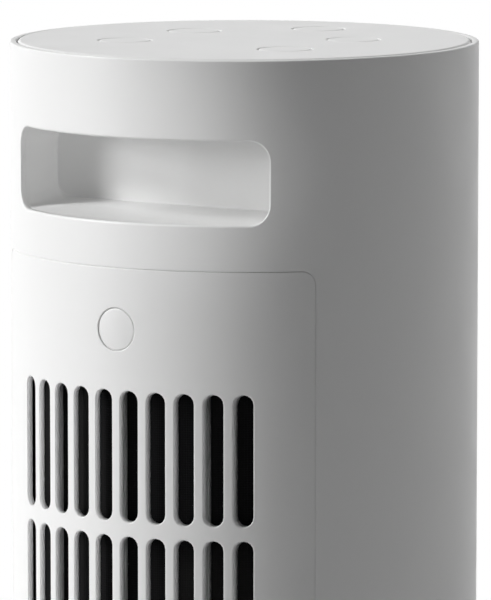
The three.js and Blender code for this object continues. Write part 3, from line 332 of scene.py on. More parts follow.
def dashes(finish, place, marks):
    # share of the colour taken by short dashes, each given by its ends in millimetres
    share = None
    core, rim = plasticValues["dashCore"] * millimetre, plasticValues["dashEnd"] * millimetre
    for start, end in marks:
        middle = (start + end) / 2 * millimetre
        turn = (end - start).angle_signed(Vector((1, 0)))
        moved = finish.node("ShaderNodeVectorMath", {"operation": "SUBTRACT"}, {0: place, 1: (*middle, 0)})
        turned = finish.node("ShaderNodeVectorRotate", {"rotation_type": "Z_AXIS"}, {
            "Vector": moved, "Angle": turn})
        sides = finish.node("ShaderNodeVectorMath", {"operation": "ABSOLUTE"}, {0: turned})
        half = ((end - start).length / 2 * millimetre, 0, 1)
        beyond = finish.node("ShaderNodeVectorMath", {"operation": "SUBTRACT"}, {0: sides, 1: half})
        outside = finish.node("ShaderNodeVectorMath", {"operation": "MAXIMUM"}, {0: beyond, 1: (0, 0, 0)})
        far = finish.node("ShaderNodeVectorMath", {"operation": "LENGTH"}, {0: outside}, output="Value")
        dash = finish.spread(far, 1, 0, core, rim)
        share = dash if share is None else share + dash
    return share


def metal(name, colour, other, roughness, lines=900.0):
    # bare metal: long drawn marks and duller patches
    finish = Finish(name, {"Base Color": (*colour, 1), "Roughness": roughness, "Metallic": 1.0})
    place = finish.place()
    drawn = finish.node("ShaderNodeMapping", None, {"Vector": place, "Scale": (lines, lines, lines / 30)})
    marks = finish.noise(drawn, 1.0, 2.0)
    patches = finish.noise(place, 60.0, 4.0)
    finish.feed("Base Color", finish.between(finish.spread(patches, 0, 1), (*colour, 1), (*other, 1)))
    finish.feed("Roughness", finish.spread(marks, roughness - 0.08, roughness + 0.1))
    finish.bump(marks, 0.15, 0.00005)
    return finish.material


def circuitBoard():
    # green lacquer with copper tracks under it and round solder joints
    finish = Finish("circuit_board", {
        "Base Color": (0.02, 0.12, 0.05, 1), "Roughness": 0.4, "Coat Weight": 0.3})
    place = finish.place()
    tracks = finish.node("ShaderNodeTexBrick", {"offset": 0.37}, {
        "Vector": place, "Scale": 110.0, "Mortar Size": 0.09, "Color1": (0, 0, 0, 1), "Color2": (0, 0, 0, 1),
        "Mortar": (1, 1, 1, 1)}, output="Fac")
    joints = finish.node("ShaderNodeTexVoronoi", None, {"Vector": place, "Scale": 190.0}, output="Distance")
    dots = finish.spread(joints, 1, 0, 0.12, 0.16)
    green = finish.between(tracks, (0.015, 0.1, 0.04, 1), (0.05, 0.2, 0.08, 1))
    finish.feed("Base Color", finish.between(dots, green, (0.55, 0.55, 0.56, 1)))
    finish.feed("Metallic", dots)
    finish.bump(tracks + dots, 0.3, 0.0001)
    return finish.material


def weave():
    # fine square mesh of the dust filter
    finish = Finish("filter_mesh", {"Base Color": (0.006, 0.006, 0.007, 1), "Roughness": 0.7, "IOR": 1.15})
    place = finish.place()
    threads = [finish.node("ShaderNodeTexWave", {"bands_direction": way}, {
        "Vector": place, "Scale": 330.0, "Distortion": 0.0}, output="Fac") for way in ("X", "Z")]
    height = threads[0] * 0.5 + threads[1] * 0.5
    black = finish.between(height, (0.002, 0.002, 0.002, 1), (0.008, 0.008, 0.009, 1))
    dust = finish.spread(finish.noise(place, 11.0, 3.0), 0, 1, 0.5, 0.75)
    finish.feed("Base Color", finish.between(dust, black, (0.014, 0.0138, 0.0135, 1)))
    finish.bump(height, 0.5, 0.0002)
    return finish.material


def rubber():
    finish = Finish("rubber", {"Base Color": (0.018, 0.018, 0.019, 1), "Roughness": 0.75})
    place = finish.place()
    dust = finish.noise(place, 90.0, 5.0)
    finish.feed("Base Color", finish.between(finish.spread(dust, 0, 1), (0.013, 0.013, 0.014, 1),
                                             (0.032, 0.032, 0.033, 1)))
    finish.feed("Roughness", finish.spread(dust, 0.66, 0.84))
    finish.bump(finish.noise(place, 1500.0), 0.25, 0.00005)
    return finish.material


def ceramic():
    finish = Finish("ceramic_body", {"Base Color": (0.62, 0.57, 0.48, 1), "Roughness": 0.65})
    place = finish.place()
    specks = finish.noise(place, 700.0, 4.0)
    finish.feed("Base Color", finish.between(finish.spread(specks, 0, 1), (0.66, 0.61, 0.52, 1),
                                             (0.5, 0.45, 0.37, 1)))
    finish.feed("Roughness", finish.spread(specks, 0.6, 0.75))
    finish.bump(specks, 0.2, 0.0001)
    return finish.material


def finStackWithGapShade():
    # close metal fins of a heating element, running across, with duller tips; the dark bands are painted
    # shade in the gaps between the fins
    finish = Finish("element_fins", {
        "Base Color": (0.62, 0.63, 0.64, 1), "Roughness": 0.35, "Metallic": 1.0})
    place = finish.place()
    finsAndGapShade = finish.node("ShaderNodeTexWave", {"bands_direction": "Z"}, {
        "Vector": place, "Scale": 140.0, "Distortion": 0.4, "Detail Scale": 3.0}, output="Fac")
    # painted shade: the darker colour of the bands stands for the shadowed gaps between fins, the lighter
    # for the fin edges
    finish.feed("Base Color", finish.between(finsAndGapShade, (0.28, 0.28, 0.29, 1), (0.68, 0.69, 0.7, 1)))
    finish.feed("Roughness", finish.spread(finsAndGapShade, 0.5, 0.3, 0, 1))
    finish.bump(finsAndGapShade, 0.8, 0.0006)
    return finish.material


# faint dashes on the top plate, each from one end to the other
panelMarks = [(Vector(start), Vector(end)) for start, end in (
    ((14.5, 26.2), (12.8, 25.1)), ((13.8, 9.4), (11.8, 8.0)), ((3.0, 29.8), (0.3, 28.1)),
    ((18.0, -4.6), (16.7, -5.5)), ((11.4, -20.0), (7.6, -22.4)), ((0.6, -4.6), (-2.1, -6.3)),
    ((2.4, -20.2), (-1.4, -22.6)))]

finishes = {
    "white": plastic("white_shell", (0.9, 0.9, 0.896), (0.89, 0.891, 0.888), 0.4, 0.1),
    # the thin ribs between the slots let some light through
    "walls": plastic("slot_walls", (0.9, 0.9, 0.896), (0.89, 0.891, 0.888), 0.4, 0.1, scatter=0.012),
    "panel": plastic("white_panel", (0.9, 0.9, 0.896), (0.892, 0.893, 0.89), 0.36, 0.08, marks=panelMarks),
    "black": plastic("black_plastic", (0.008, 0.008, 0.009), (0.014, 0.014, 0.015), 0.6, 0.2, 1800.0,
                     index=1.25),
    "natural": plastic("natural_plastic", (0.74, 0.72, 0.64), (0.7, 0.67, 0.57), 0.45, 0.1),
    "smoked": plastic("smoked_plastic", (0.02, 0.02, 0.024), (0.03, 0.03, 0.034), 0.2, 0.03, coat=0.5),
    "steel": metal("steel", (0.56, 0.57, 0.58), (0.45, 0.46, 0.47), 0.32),
    "board": circuitBoard(),
    "mesh": weave(),
    "rubber": rubber(),
    "ceramic": ceramic(),
    "finsAndGapShade": finStackWithGapShade(),
}
print("finishes ready")


shellValues = {
    "radius": 95, "wall": 2.6, "bottom": 28, "top": 600.1, "rimRound": 0.7, "rimInnerRound": 0.25,
    "skirtRound": 1.0, "columnStep": 3.0, "seamGap": 0.4, "seamRound": 0.2,
    "seamDepth": 0.25, "seamClearance": 0.05,
}
handleValues = {"halfWidth": 58.55, "bottom": 535.4, "top": 568.4, "corner": 8, "lipRound": 1.0,
                "backWall": 49, "backRound": 0.6, "taper": 2.1, "wall": 2.2, "columnStep": 4}
coverValues = {"halfWidth": 72.0, "bottom": 134.4, "top": 516.8, "corner": 5.4, "wall": 3.0, "columns": 10}
grilleValues = {"halfWidth": 51, "bottom": 169.5, "top": 482, "corner": 6, "wall": 3.0, "columns": 8}
frameValues = {"outer": 91.0, "inner": 88.5, "lap": 8, "border": 6}
slotValues = {"rows": 5, "top": 468.95, "length": 53.6, "rowPitch": 58.2, "pitchAngle": 7.11,
              "openAngle": 5.4, "edgeRound": 0.6, "edgeSteps": 4, "skin": 0.1, "ribDepth": 2.3,
              "ribEvery": 3, "cutsPerSlot": 3, "margin": 1, "flatEnough": 0.9}
releaseValues = {"height": 492.55, "diameter": 16.8, "groove": 0.25, "holeRound": 0.35, "edgeRound": 0.6,
                 "collar": 0.2, "collarDepth": 0.7, "dome": 0.25, "sleeveWall": 2.1, "sleeveLength": 6.3,
                 "flange": 21, "flangeWall": 2, "back": 84.5, "pusher": (-3, 3, 80.8, 83, 498.2, 506.7),
                 "faceRings": (0, 0.2, 0.4, 0.6, 0.75), "bentDepth": 4}

towerRadius = shellValues["radius"]
halfRound = pi * towerRadius
slotBottom = slotValues["top"] - slotValues["length"] - slotValues["rowPitch"] * (slotValues["rows"] - 1)


def arcWidth(halfWidth):
    return towerRadius * asin(halfWidth / towerRadius)


def panelShape(values, u=0.0, grow=0.0, steps=8):
    bottom, top = values["bottom"], values["top"]
    return {"u": u, "z": (bottom + top) / 2, "halfWidth": arcWidth(values["halfWidth"]) + grow,
            "halfHeight": (top - bottom) / 2 + grow, "corner": values["corner"] + grow, "steps": steps}


def discShape(u, z, radius, steps):
    return {"u": u, "z": z, "halfWidth": radius, "halfHeight": radius, "corner": radius, "steps": steps}


def towerWall():
    values = shellValues
    bm = startMesh()
    left, right = -1.5 * halfRound, 0.5 * halfRound
    rim, skirt = values["rimRound"], values["skirtRound"]
    top, bottom, wall = values["top"], values["bottom"], values["wall"]
    inner = values["rimInnerRound"]
    upper = [(top - offset, depth) for offset, depth in arcRows(rim, 5)]
    upper += [(top - depth, wall - offset) for offset, depth in arcRows(inner, 3)]
    lower = [(bottom + offset, depth) for offset, depth in arcRows(skirt, 5)] + [(bottom, wall)]
    gap, edge = values["seamGap"], values["seamRound"]
    seam = arcRows(edge, 3) + [(0, wall)]
    lipRound = handleValues["lipRound"]
    lip = arcRows(lipRound, 8) + [(0, lipRound + meshValues["support"]), (0, wall)]
    holes = [
        outline(bm, panelShape(coverValues, 0, gap), seam),
        outline(bm, panelShape(grilleValues, -halfRound, gap), seam),
        outline(bm, panelShape(handleValues, 0, 0, 12), lip),
    ]
    wallSlab(bm, left, right, upper, lower, holes)
    lap, border = frameValues["lap"], frameValues["border"]
    front, back = towerRadius - frameValues["outer"], towerRadius - frameValues["inner"]
    for panel, u in ((coverValues, 0), (grilleValues, -halfRound)):
        outline(bm, panelShape(panel, u), [(-lap, front), (gap, front), (gap, wall), (border, wall),
                                           (border, back), (-lap, back), (-lap, front)])
    cutColumns(bm, left, right, towerRadius * radians(values["columnStep"]))
    bendRound(bm, towerRadius)
    return finishPiece(bm, "tower_wall", "tower", finishes["white"], ["outer_shell"],
                       roundSkin(towerRadius))


ledgeValues = {"inner": 88.5, "outer": 92.35, "bottom": 590.3, "top": 594.3}


def panelLedge():
    values = ledgeValues
    inner, outer, bottom, top = values["inner"], values["outer"], values["bottom"], values["top"]
    bm = startMesh()
    turn(bm, [(inner, bottom), (outer, bottom), (outer, top), (inner, top), (inner, bottom)])
    return finishPiece(bm, "panel_ledge", "tower", finishes["white"])


def handleCup():
    values = handleValues
    bm = startMesh()
    shape = panelShape(values, 0, 0, 12)
    back, wall, inside = values["backWall"], values["wall"], towerRadius - shellValues["wall"]
    edge = values["backRound"]
    fillet = reversed(quarterRound(-edge, back + edge, edge, way=-1))
    fillSkins(bm, [outline(bm, shape, [(wall, back - wall), (wall, inside), (0, inside), *fillet])])
    cutColumns(bm, -shape["halfWidth"], shape["halfWidth"], values["columnStep"])
    for vert in bm.verts:
        # depth holds the distance along Y here; the mouth follows the wall's inside
        across = towerRadius * sin(vert.co.x / towerRadius)
        along = sqrt(inside ** 2 - across ** 2) if vert.co.y > inside - meshValues["clear"] else vert.co.y
        # floor and ceiling close in a little towards the back
        share = (inside - vert.co.y) / (inside - back) * values["taper"] / shape["halfHeight"]
        vert.co = (across, along, shape["z"] + (vert.co.z - shape["z"]) * (1 - share))
    return finishPiece(bm, "handle_pocket", "tower", finishes["white"], ["handle_cup"])


def slotHoles(bm, columns, u):
    values = slotValues
    half = towerRadius * radians(values["openAngle"]) / 2 - values["edgeRound"]
    rows = arcRows(values["edgeRound"], values["edgeSteps"])
    rows += [(0, values["edgeRound"] + meshValues["support"]), (0, coverValues["wall"])]
    made = []
    for column in range(columns):
        for row in range(values["rows"]):
            top = values["top"] - values["rowPitch"] * row
            place = u + towerRadius * radians(values["pitchAngle"]) * (column - (columns - 1) / 2)
            made.append(outline(bm, {
                "u": place, "z": top - values["length"] / 2, "halfWidth": half, "corner": half, "steps": 9,
                "halfHeight": values["length"] / 2 - values["edgeRound"],
            }, rows))
    return made


def slotRibs(bm, columns, u):
    values = slotValues
    pitch = towerRadius * radians(values["pitchAngle"])
    half = pitch / 2 - towerRadius * radians(values["openAngle"]) / 2 + values["edgeRound"]
    wall = coverValues["wall"]
    for column in range(1, columns):
        if column % values["ribEvery"] == values["ribEvery"] - 1:
            place = u + pitch * (column - columns / 2)
            box(bm, place - half, place + half, wall, wall + values["ribDepth"], slotBottom, values["top"])


def markSlotWalls(bm, columns, u):
    # the walls of the slots take the panel's second finish
    values = slotValues
    half = towerRadius * radians(values["pitchAngle"]) * columns / 2
    low, high = slotBottom - values["margin"], values["top"] + values["margin"]
    bm.normal_update()
    for face in bm.faces:
        inField = all(abs(vert.co.x - u) < half and low < vert.co.z < high
                      and vert.co.y > values["skin"] for vert in face.verts)
        face.material_index = int(inField and abs(face.normal.y) < values["flatEnough"])


def slottedPanel(values, u, name, body, stands, extra=()):
    bm = startMesh()
    tongue, groove = shellValues["seamGap"] - shellValues["seamClearance"], shellValues["seamDepth"]
    rows = arcRows(shellValues["seamRound"], 3, -1)
    rows += [(0, groove), (tongue, groove), (tongue, values["wall"])]
    shape = panelShape(values, u)
    loops = [outline(bm, shape, rows), *slotHoles(bm, values["columns"], u)]
    for hole in extra:
        loops.append(outline(bm, *hole))
    fillSkins(bm, loops)
    slotRibs(bm, values["columns"], u)
    half = shape["halfWidth"] + tongue
    pitch = towerRadius * radians(slotValues["pitchAngle"])
    cutColumns(bm, u - half, u + half, pitch / slotValues["cutsPerSlot"])
    markSlotWalls(bm, values["columns"], u)
    bendRound(bm, towerRadius)
    piece = finishPiece(bm, name, body, finishes["white"], stands, roundSkin(towerRadius))
    piece.data.materials.append(finishes["walls"])
    return piece


def rearCover():
    values = releaseValues
    radius = values["diameter"] / 2 + values["groove"]
    wall, sleeve = coverValues["wall"], values["sleeveWall"]
    deep = wall + values["sleeveLength"]
    rows = arcRows(values["holeRound"], 4) + [(0, deep), (sleeve, deep), (sleeve, wall)]
    hole = (discShape(0, values["height"], radius, 72), rows)
    return slottedPanel(coverValues, 0, "intake_cover", "cover", ["rear_cover"], [hole])


catchValues = {"halfWidth": 14, "thickness": 2, "back": 74, "front": 91.4, "bottom": 499, "top": 504,
               "bevel": 0.25}
tabValues = {"out": 35, "halfWidth": 6.4, "near": 2.9, "far": 5.4, "bottom": 127.4, "top": 145.4,
             "columnStep": 4, "margin": 1.6}


def coverCatch():
    # arms and bar that the spring hooks behind, and the two tabs at the cover's foot
    values = catchValues
    bm = startMesh()
    out, inner, back = values["halfWidth"], values["halfWidth"] - values["thickness"], values["back"]
    for left, right, front in ((-out, -inner, values["front"]), (inner, out, values["front"]),
                               (-out, out, back + values["thickness"])):
        box(bm, left, right, back, front, values["bottom"], values["top"])
    bmesh.ops.bevel(bm, geom=bm.edges[:], offset=values["bevel"], segments=2, affect="EDGES", profile=0.5,
                    material=-1)
    values = tabValues
    tabs = startMesh()
    middle, half = arcWidth(values["out"]), values["halfWidth"]
    for side in (-middle, middle):
        box(tabs, side - half, side + half, values["near"], values["far"], values["bottom"], values["top"])
    reach = middle + half + values["margin"]
    cutColumns(tabs, -reach, reach, values["columnStep"])
    bendRound(tabs, towerRadius)
    extra = bpy.data.meshes.new("tabs")
    tabs.to_mesh(extra)
    tabs.free()
    bm.from_mesh(extra)
    bpy.data.meshes.remove(extra)
    return finishPiece(bm, "cover_catch", "cover", finishes["white"])


def releaseButton():
    values = releaseValues
    bm = startMesh()
    radius, edge, face = values["diameter"] / 2, values["edgeRound"], towerRadius
    profile = [(radius * share, face) for share in values["faceRings"]]
    profile += quarterRound(radius - edge, face - edge, edge)
    collar, under = radius + values["collar"], face - values["collarDepth"]
    flange, back, thickness = values["flange"] / 2, values["back"], values["flangeWall"]
    profile += [(radius, under), (collar, under), (collar, under - thickness), (radius, under - thickness),
                (radius, back), (flange, back), (flange, back - thickness), (0, back - thickness)]
    turn(bm, profile)
    bmesh.ops.rotate(bm, verts=bm.verts, cent=(0, 0, 0), matrix=Matrix.Rotation(radians(-90), 3, "X"))
    for vert in bm.verts:
        if vert.co.y > face - values["bentDepth"]:  # the face follows the cover, a little fuller
            out = hypot(vert.co.x, vert.co.z) / radius
            vert.co.y -= towerRadius - sqrt(towerRadius ** 2 - vert.co.x ** 2) + values["dome"] * out ** 2
    bmesh.ops.translate(bm, verts=bm.verts, vec=(0, 0, values["height"]))
    box(bm, *values["pusher"])
    return finishPiece(bm, "release_knob", "release", finishes["white"], ["release_button"])


towerWall()
panelLedge()
handleCup()
print("tower wall ready")
rearCover()
coverCatch()
releaseButton()
slottedPanel(grilleValues, -halfRound, "front_grille", "tower", ["outlet_grille"])
print("cover and grille ready")


filterValues = {"radius": 88.7, "wall": 2.2, "skin": 0.6, "halfWidth": 60, "bottom": 179.9, "top": 471.6,
                "corner": 3, "edge": 0.4, "border": 5, "netInset": 2, "columnStep": 4}
paneValues = {"bar": 2, "inset": 0.6, "drop": 0.5, "corner": 2, "edge": 0.3}


def dustFilter():
    values = filterValues
    radius, wall = values["radius"], values["wall"]
    half = radius * asin(values["halfWidth"] / radius)
    middle, height = (values["bottom"] + values["top"]) / 2, (values["top"] - values["bottom"]) / 2
    bm = startMesh()
    edge, paneEdge = values["edge"], paneValues["edge"]
    shape = {"u": 0, "z": middle, "halfWidth": half, "halfHeight": height, "corner": values["corner"],
             "steps": 5}
    loops = [outline(bm, shape, [(-edge, 0), (0, edge), (0, wall)])]
    third, halfSlot = (half - values["border"]) / 3, slotValues["length"] / 2
    for row in range(slotValues["rows"]):
        place = slotBottom + slotValues["rowPitch"] * row - paneValues["drop"] + halfSlot
        for column in (-1, 0, 1):
            pane = {"u": column * 2 * third, "z": place, "halfWidth": third - paneValues["bar"] / 2,
                    "halfHeight": halfSlot - paneValues["inset"], "corner": paneValues["corner"], "steps": 4}
            loops.append(outline(bm, pane, [(paneEdge, 0), (0, paneEdge), (0, wall)]))
    fillSkins(bm, loops)
    cutColumns(bm, -half, half, values["columnStep"])
    bendRound(bm, radius, False)
    finishPiece(bm, "filter_frame", "cover", finishes["black"], ["dust_filter"],
                roundSkin(radius))
    bm = startMesh()
    inset = (wall - values["skin"]) / 2
    sheet = dict(shape, halfWidth=half - values["netInset"], halfHeight=height - values["netInset"])
    fillSkins(bm, [outline(bm, sheet, [(0, inset), (0, inset + values["skin"])])])
    cutColumns(bm, -half, half, values["columnStep"])
    bendRound(bm, radius, False)
    finishPiece(bm, "filter_net", "cover", finishes["mesh"], [], roundSkin(radius - inset))


dustFilter()


panelValues = {"radius": 91.8, "top": 600.4, "wall": 2.5, "depth": 6.1, "skirt": 2.6, "edgeRound": 1.5,
               "step": 0.5, "stepDepth": 2.0, "holeRound": 0.7}
buttonValues = {"diameter": 21.2, "groove": 0.3, "edgeRound": 0.9, "flangeTop": 597.4, "flangeBottom": 595.9,
                "flangeLip": 1.5, "collar": 0.25, "collarDepth": 1.1, "collarHeight": 0.6, "stem": 5,
                "stemBottom": 591.5, "faceRing": 0.2}
buttonPlaces = {"power": (0, -57.3), "heat": (-38.3, -22), "swing": (38.3, -22), "timer": (-38.1, 30),
                "warmth": (38.1, 30)}


def topPanel():
    values = panelValues
    bm = startMesh()
    radius, hole = values["radius"], buttonValues["diameter"] / 2 + buttonValues["groove"]
    step, under = values["step"], values["stepDepth"]
    rows = arcRows(values["edgeRound"], 6, -1)
    rows += [(0, under), (step, under), (step, under + values["wall"]), (0, under + values["wall"])]
    rows += [(0, values["depth"]), (-values["skirt"], values["depth"]), (-values["skirt"], values["wall"])]
    loops = [outline(bm, discShape(0, 0, radius, 128), rows)]
    for x, y in buttonPlaces.values():
        loops.append(outline(bm, discShape(x, y, hole, 64),
                             arcRows(values["holeRound"], 3) + [(0, values["wall"])]))
    fillSkins(bm, loops)
    layFlat(bm, values["top"])

    def flat(place):
        return Vector((0, 0, 1)) if abs(place.z - values["top"]) < meshValues["onTop"] else None

    return finishPiece(bm, "control_panel", "tower", finishes["panel"], ["top_panel"], flat)


def topButtons():
    values = buttonValues
    top, radius, edge = panelValues["top"], values["diameter"] / 2, values["edgeRound"]
    for name, (x, y) in buttonPlaces.items():
        bm = startMesh()
        lip = radius + values["flangeLip"]
        profile = [(0, top), (radius - edge - values["faceRing"], top)]
        profile += quarterRound(radius - edge, top - edge, edge)
        collar, under = radius + values["collar"], top - values["collarDepth"]
        collarEnd, stem = under - values["collarHeight"], values["stem"] / 2
        profile += [(radius, under), (collar, under), (collar, collarEnd), (radius, collarEnd),
                    (radius, values["flangeTop"]), (lip, values["flangeTop"]), (lip, values["flangeBottom"]),
                    (stem, values["flangeBottom"]), (stem, values["stemBottom"]), (0, values["stemBottom"])]
        turn(bm, profile, 64)
        bmesh.ops.translate(bm, verts=bm.verts, vec=(x, y, 0))
        finishPiece(bm, f"{name}_cap", f"{name}_key", finishes["panel"], [f"{name}_button"])


topPanel()
topButtons()
print("top ready")


baseValues = {"radius": 93, "wall": 2.6, "bottom": 3, "top": 24, "round": 4, "hub": 12, "hubBore": 8,
              "hubTop": 42.12, "topRow": 30, "columnStep": 3}
glandValues = {"height": 13.5, "hole": 9, "flange": 13, "neck": 8.6, "bore": 6.4, "lip": 1.1,
               "outside": 94.5, "flangeBack": 93.1, "neckEnd": 90.1, "inside": 89.2, "edge": 0.7,
               "boreEdge": 0.5, "edgeMiddle": 0.2, "boreMiddle": 0.15}


def baseCover():
    values = baseValues
    bm = startMesh()
    radius, wall, top = values["radius"], values["wall"], values["top"]
    hub, bore, hubTop = radius - values["hub"], radius - values["hubBore"], values["hubTop"]
    half = pi * radius
    upper = [(top - offset, depth) for offset, depth in arcRows(values["round"], 10)]
    upper += [(top, values["topRow"]), (top, hub), (hubTop, hub), (hubTop, bore), (top - wall, bore),
              (top - wall, wall)]
    lower = [(values["bottom"], 0), (values["bottom"], wall)]
    gland = discShape(0, glandValues["height"], glandValues["hole"] / 2, 32)
    wallSlab(bm, -1.5 * half, 0.5 * half, upper, lower, [outline(bm, gland, [(0, 0), (0, wall)])])
    cutColumns(bm, -1.5 * half, 0.5 * half, radius * radians(values["columnStep"]))
    bendRound(bm, radius, False)

    def skin(place):
        if abs(place.z - top) < meshValues["onTop"] and hypot(place.x, place.y) > values["hub"] + 1:
            return Vector((0, 0, 1))
        return roundSkin(radius)(place) if place.z > values["bottom"] + meshValues["clear"] else None

    return finishPiece(bm, "base_housing", "base", finishes["white"], ["base_cover"], skin)


def cordGland():
    values = glandValues
    bm = startMesh()
    bore, neck, flange = values["bore"] / 2, values["neck"] / 2, values["flange"] / 2
    inside, outside, edge, boreEdge = values["inside"], values["outside"], values["edge"], values["boreEdge"]
    back, middle, boreMiddle = values["flangeBack"], values["edgeMiddle"], values["boreMiddle"]
    turn(bm, [(bore, inside), (bore + values["lip"], inside), (neck, values["neckEnd"]), (neck, back),
              (flange, back), (flange, outside - edge), (flange - middle, outside - middle),
              (flange - edge, outside), (bore + boreEdge, outside),
              (bore + boreMiddle, outside - boreMiddle), (bore, outside - boreEdge), (bore, inside)], 48)
    bmesh.ops.rotate(bm, verts=bm.verts, cent=(0, 0, 0), matrix=Matrix.Rotation(radians(-90), 3, "X"))
    bmesh.ops.translate(bm, verts=bm.verts, vec=(0, 0, values["height"]))
    return finishPiece(bm, "lead_gland", "base", finishes["rubber"], ["cord_gland"])


footValues = {"radius": 9, "height": 3, "edge": 0.8, "circle": 72, "hollow": 0.35, "ring": 3, "slope": 0.4}


def rubberFeet():
    values = footValues
    radius, edge, height = values["radius"], values["edge"], values["height"]
    hollow, hollowEnd = values["hollow"], radius - values["ring"]
    rim = quarterRound(radius - edge, edge, edge, 5, -1)
    for i in range(4):
        angle = radians(45 + 90 * i)
        place = (values["circle"] * cos(angle), values["circle"] * sin(angle), 0)
        bm = startMesh()
        turn(bm, [(0, hollow), (hollowEnd, hollow), (hollowEnd + values["slope"], 0), *rim,
                  (radius, height), (0, height)], 48)
        bmesh.ops.translate(bm, verts=bm.verts, vec=place)
        finishPiece(bm, f"rubber_foot_{i + 1}", "base", finishes["rubber"], [f"foot_{i + 1}"])


weightValues = {"radius": 90.1, "bottom": 3, "top": 6, "edge": 0.3, "screwCircle": 55, "screwHole": 3.6,
                "plungerPlace": (8, -62), "plungerHole": 8.6}


def weightPlate():
    values = weightValues
    bm = startMesh()
    edge, circle, screw = values["edge"], values["screwCircle"], values["screwHole"] / 2
    deep = values["top"] - values["bottom"]
    loops = [outline(bm, discShape(0, 0, values["radius"], 96), [(-edge, 0), (0, edge), (0, deep)])]
    holes = [(*values["plungerPlace"], values["plungerHole"] / 2)]
    for i in range(3):
        angle = radians(90 + 120 * i)
        holes.append((circle * cos(angle), circle * sin(angle), screw))
    for x, y, radius in holes:
        loops.append(outline(bm, discShape(x, y, radius, 32), [(0, 0), (0, deep)]))
    fillSkins(bm, loops)
    layFlat(bm, values["top"])
    return finishPiece(bm, "ballast_plate", "base", finishes["steel"], ["base_weight_plate"])


ringValues = {"inner": 60, "outer": 66, "bottom": 24, "top": 29, "edge": 0.3}


def glideRing():
    values = ringValues
    inner, outer, bottom, top = values["inner"], values["outer"], values["bottom"], values["top"]
    edge = values["edge"]
    bm = startMesh()
    turn(bm, [(inner, bottom), (outer, bottom), (outer, top - edge), (outer - edge, top),
              (inner + edge, top), (inner, top - edge), (inner, bottom)])
    return finishPiece(bm, "slide_ring", "base", finishes["natural"], ["glide_ring"])


baseCover()
cordGland()
rubberFeet()
weightPlate()
glideRing()
print("base ready")


# the inner parts keep their frame meshes and get a finish
innerFinishes = {
    "steel": ["base_screw", "tower_screw", "axle_clip", "board_screw", "keeper", "swing_motor", "fan_motor",
              "motor_rotor"],
    "natural": ["swing_gear", "swing_pinion", "shaft_bush"],
    "black": ["tip_plunger", "tip_switch", "lower_fan_shelf", "upper_fan_shelf", "fan_impeller",
              "fan_scroll", "vortex_tongue", "heater_duct", "room_sensor"],
    "white": ["tower_floor"],
    "board": ["power_board", "control_board"],
    "smoked": ["display_module"],
    "ceramic": ["thermal_cutout", "thermal_fuse"],
    "finsAndGapShade": ["heating_element"],
}
for finishName, starts in innerFinishes.items():
    for nodeName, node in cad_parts.items():
        if nodeName.startswith(tuple(starts)):
            node.data.materials.clear()
            node.data.materials.append(finishes[finishName])
print("inner parts finished")


stageValues = {"radius": 2.2, "shadowReach": 0.45, "fadeEnd": 1.5}


def stageFloor():
    bm = bmesh.new()
    bmesh.ops.create_circle(bm, cap_ends=True, segments=96, radius=stageValues["radius"])
    mesh = bpy.data.meshes.new("floor")
    bm.to_mesh(mesh)
    bm.free()
    floor = bpy.data.objects.new("floor", mesh)
    bpy.context.scene.collection.objects.link(floor)
    finish = Finish("floor", {"Base Color": (0.8, 0.8, 0.8, 1), "Roughness": 0.9})
    place = finish.place()
    length = finish.node("ShaderNodeVectorMath", {"operation": "LENGTH"}, {0: place}, output="Value")
    far = finish.spread(length, 0, 1, stageValues["shadowReach"], stageValues["fadeEnd"])
    glow = finish.node("ShaderNodeEmission", None, {"Color": (1, 1, 1, 1), "Strength": 1.0})
    shaded = Link(finish, finish.shader.outputs[0])
    both = finish.node("ShaderNodeMixShader", None, {0: far * finish.whiteRays(), 1: shaded, 2: glow})
    finish.tree.links.new(both.socket, finish.tree.nodes["Material Output"].inputs["Surface"])
    mesh.materials.append(finish.material)


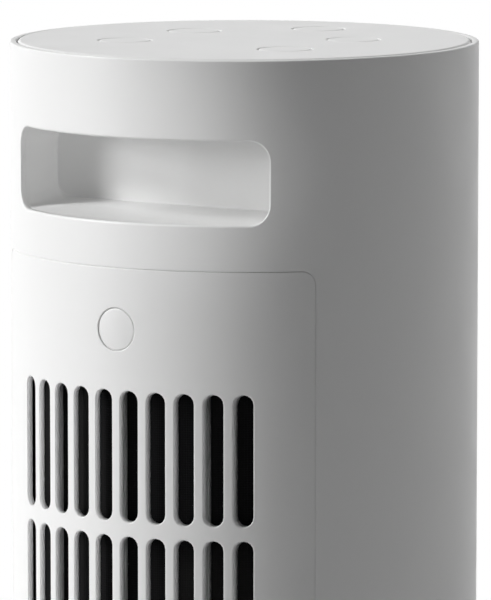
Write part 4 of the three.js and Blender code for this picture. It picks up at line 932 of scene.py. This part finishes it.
lightValues = {
    "ambient": 0.004,
    "lamps": {  # way round from +X, height, strength and apparent width; the angles are in degrees
        "low_key": (44.5, 11, 1.1, 18),
        "high_key": (37, 33, 2.1, 20),
        "fill": (238, 20, 0.37, 60),
        "top": (0, 90, 0.35, 30),
    },
    # a narrow lamp that reaches into the recess
    "recess": {"at": (0.056, 0.062, 0.552), "from": (-1.31, 0.69, 0.585), "power": 32, "cone": 2.5,
               "size": 0.04},
}


def lighting():
    scene = bpy.context.scene
    world = bpy.data.worlds.new("studio")
    scene.world = world
    world.use_nodes = True
    sky = Nodes(world.node_tree)
    strength = sky.spread(sky.whiteRays(), lightValues["ambient"], 1, 0, 1)
    background = sky.tree.nodes["Background"].inputs
    background["Color"].default_value = (1, 1, 1, 1)
    sky.tree.links.new(strength.socket, background["Strength"])
    for name, (way, height, power, width) in lightValues["lamps"].items():
        lamp = bpy.data.lights.new(name, "SUN")
        lamp.energy, lamp.angle = power, radians(width)
        holder = bpy.data.objects.new(name, lamp)
        holder.rotation_euler = (0, radians(90 - height), radians(way))
        scene.collection.objects.link(holder)
    recess = lightValues["recess"]
    lamp = bpy.data.lights.new("recess_lamp", "SPOT")
    lamp.energy, lamp.spot_size, lamp.spot_blend = recess["power"], radians(recess["cone"]), 1
    lamp.shadow_soft_size = recess["size"]
    holder = bpy.data.objects.new("recess_lamp", lamp)
    way = Vector(recess["at"]) - Vector(recess["from"])
    holder.location = recess["from"]
    holder.rotation_euler = way.to_track_quat("-Z", "Y").to_euler()
    scene.collection.objects.link(holder)
    scene.view_settings.view_transform = "Standard"


# angles in degrees, distances in metres, lens and sensor in millimetres
cameraValues = {"azimuth": 212.3, "distance": 2.4623, "height": 0.8152, "pitch": 7.437, "yaw": 0.0117,
                "lens": 365.93, "sensor": 36, "near": 0.1, "far": 50}


def makeCamera():
    values = cameraValues
    data = bpy.data.cameras.new("view")
    data.lens, data.sensor_width = values["lens"], values["sensor"]
    data.clip_start, data.clip_end = values["near"], values["far"]
    camera = bpy.data.objects.new("view", data)
    around = radians(values["azimuth"])
    camera.location = (values["distance"] * sin(around), -values["distance"] * cos(around), values["height"])
    camera.rotation_euler = (radians(90 - values["pitch"]), 0, around - radians(values["yaw"]))
    bpy.context.scene.collection.objects.link(camera)
    bpy.context.scene.camera = camera


stageFloor()
lighting()
makeCamera()
print("stage ready")
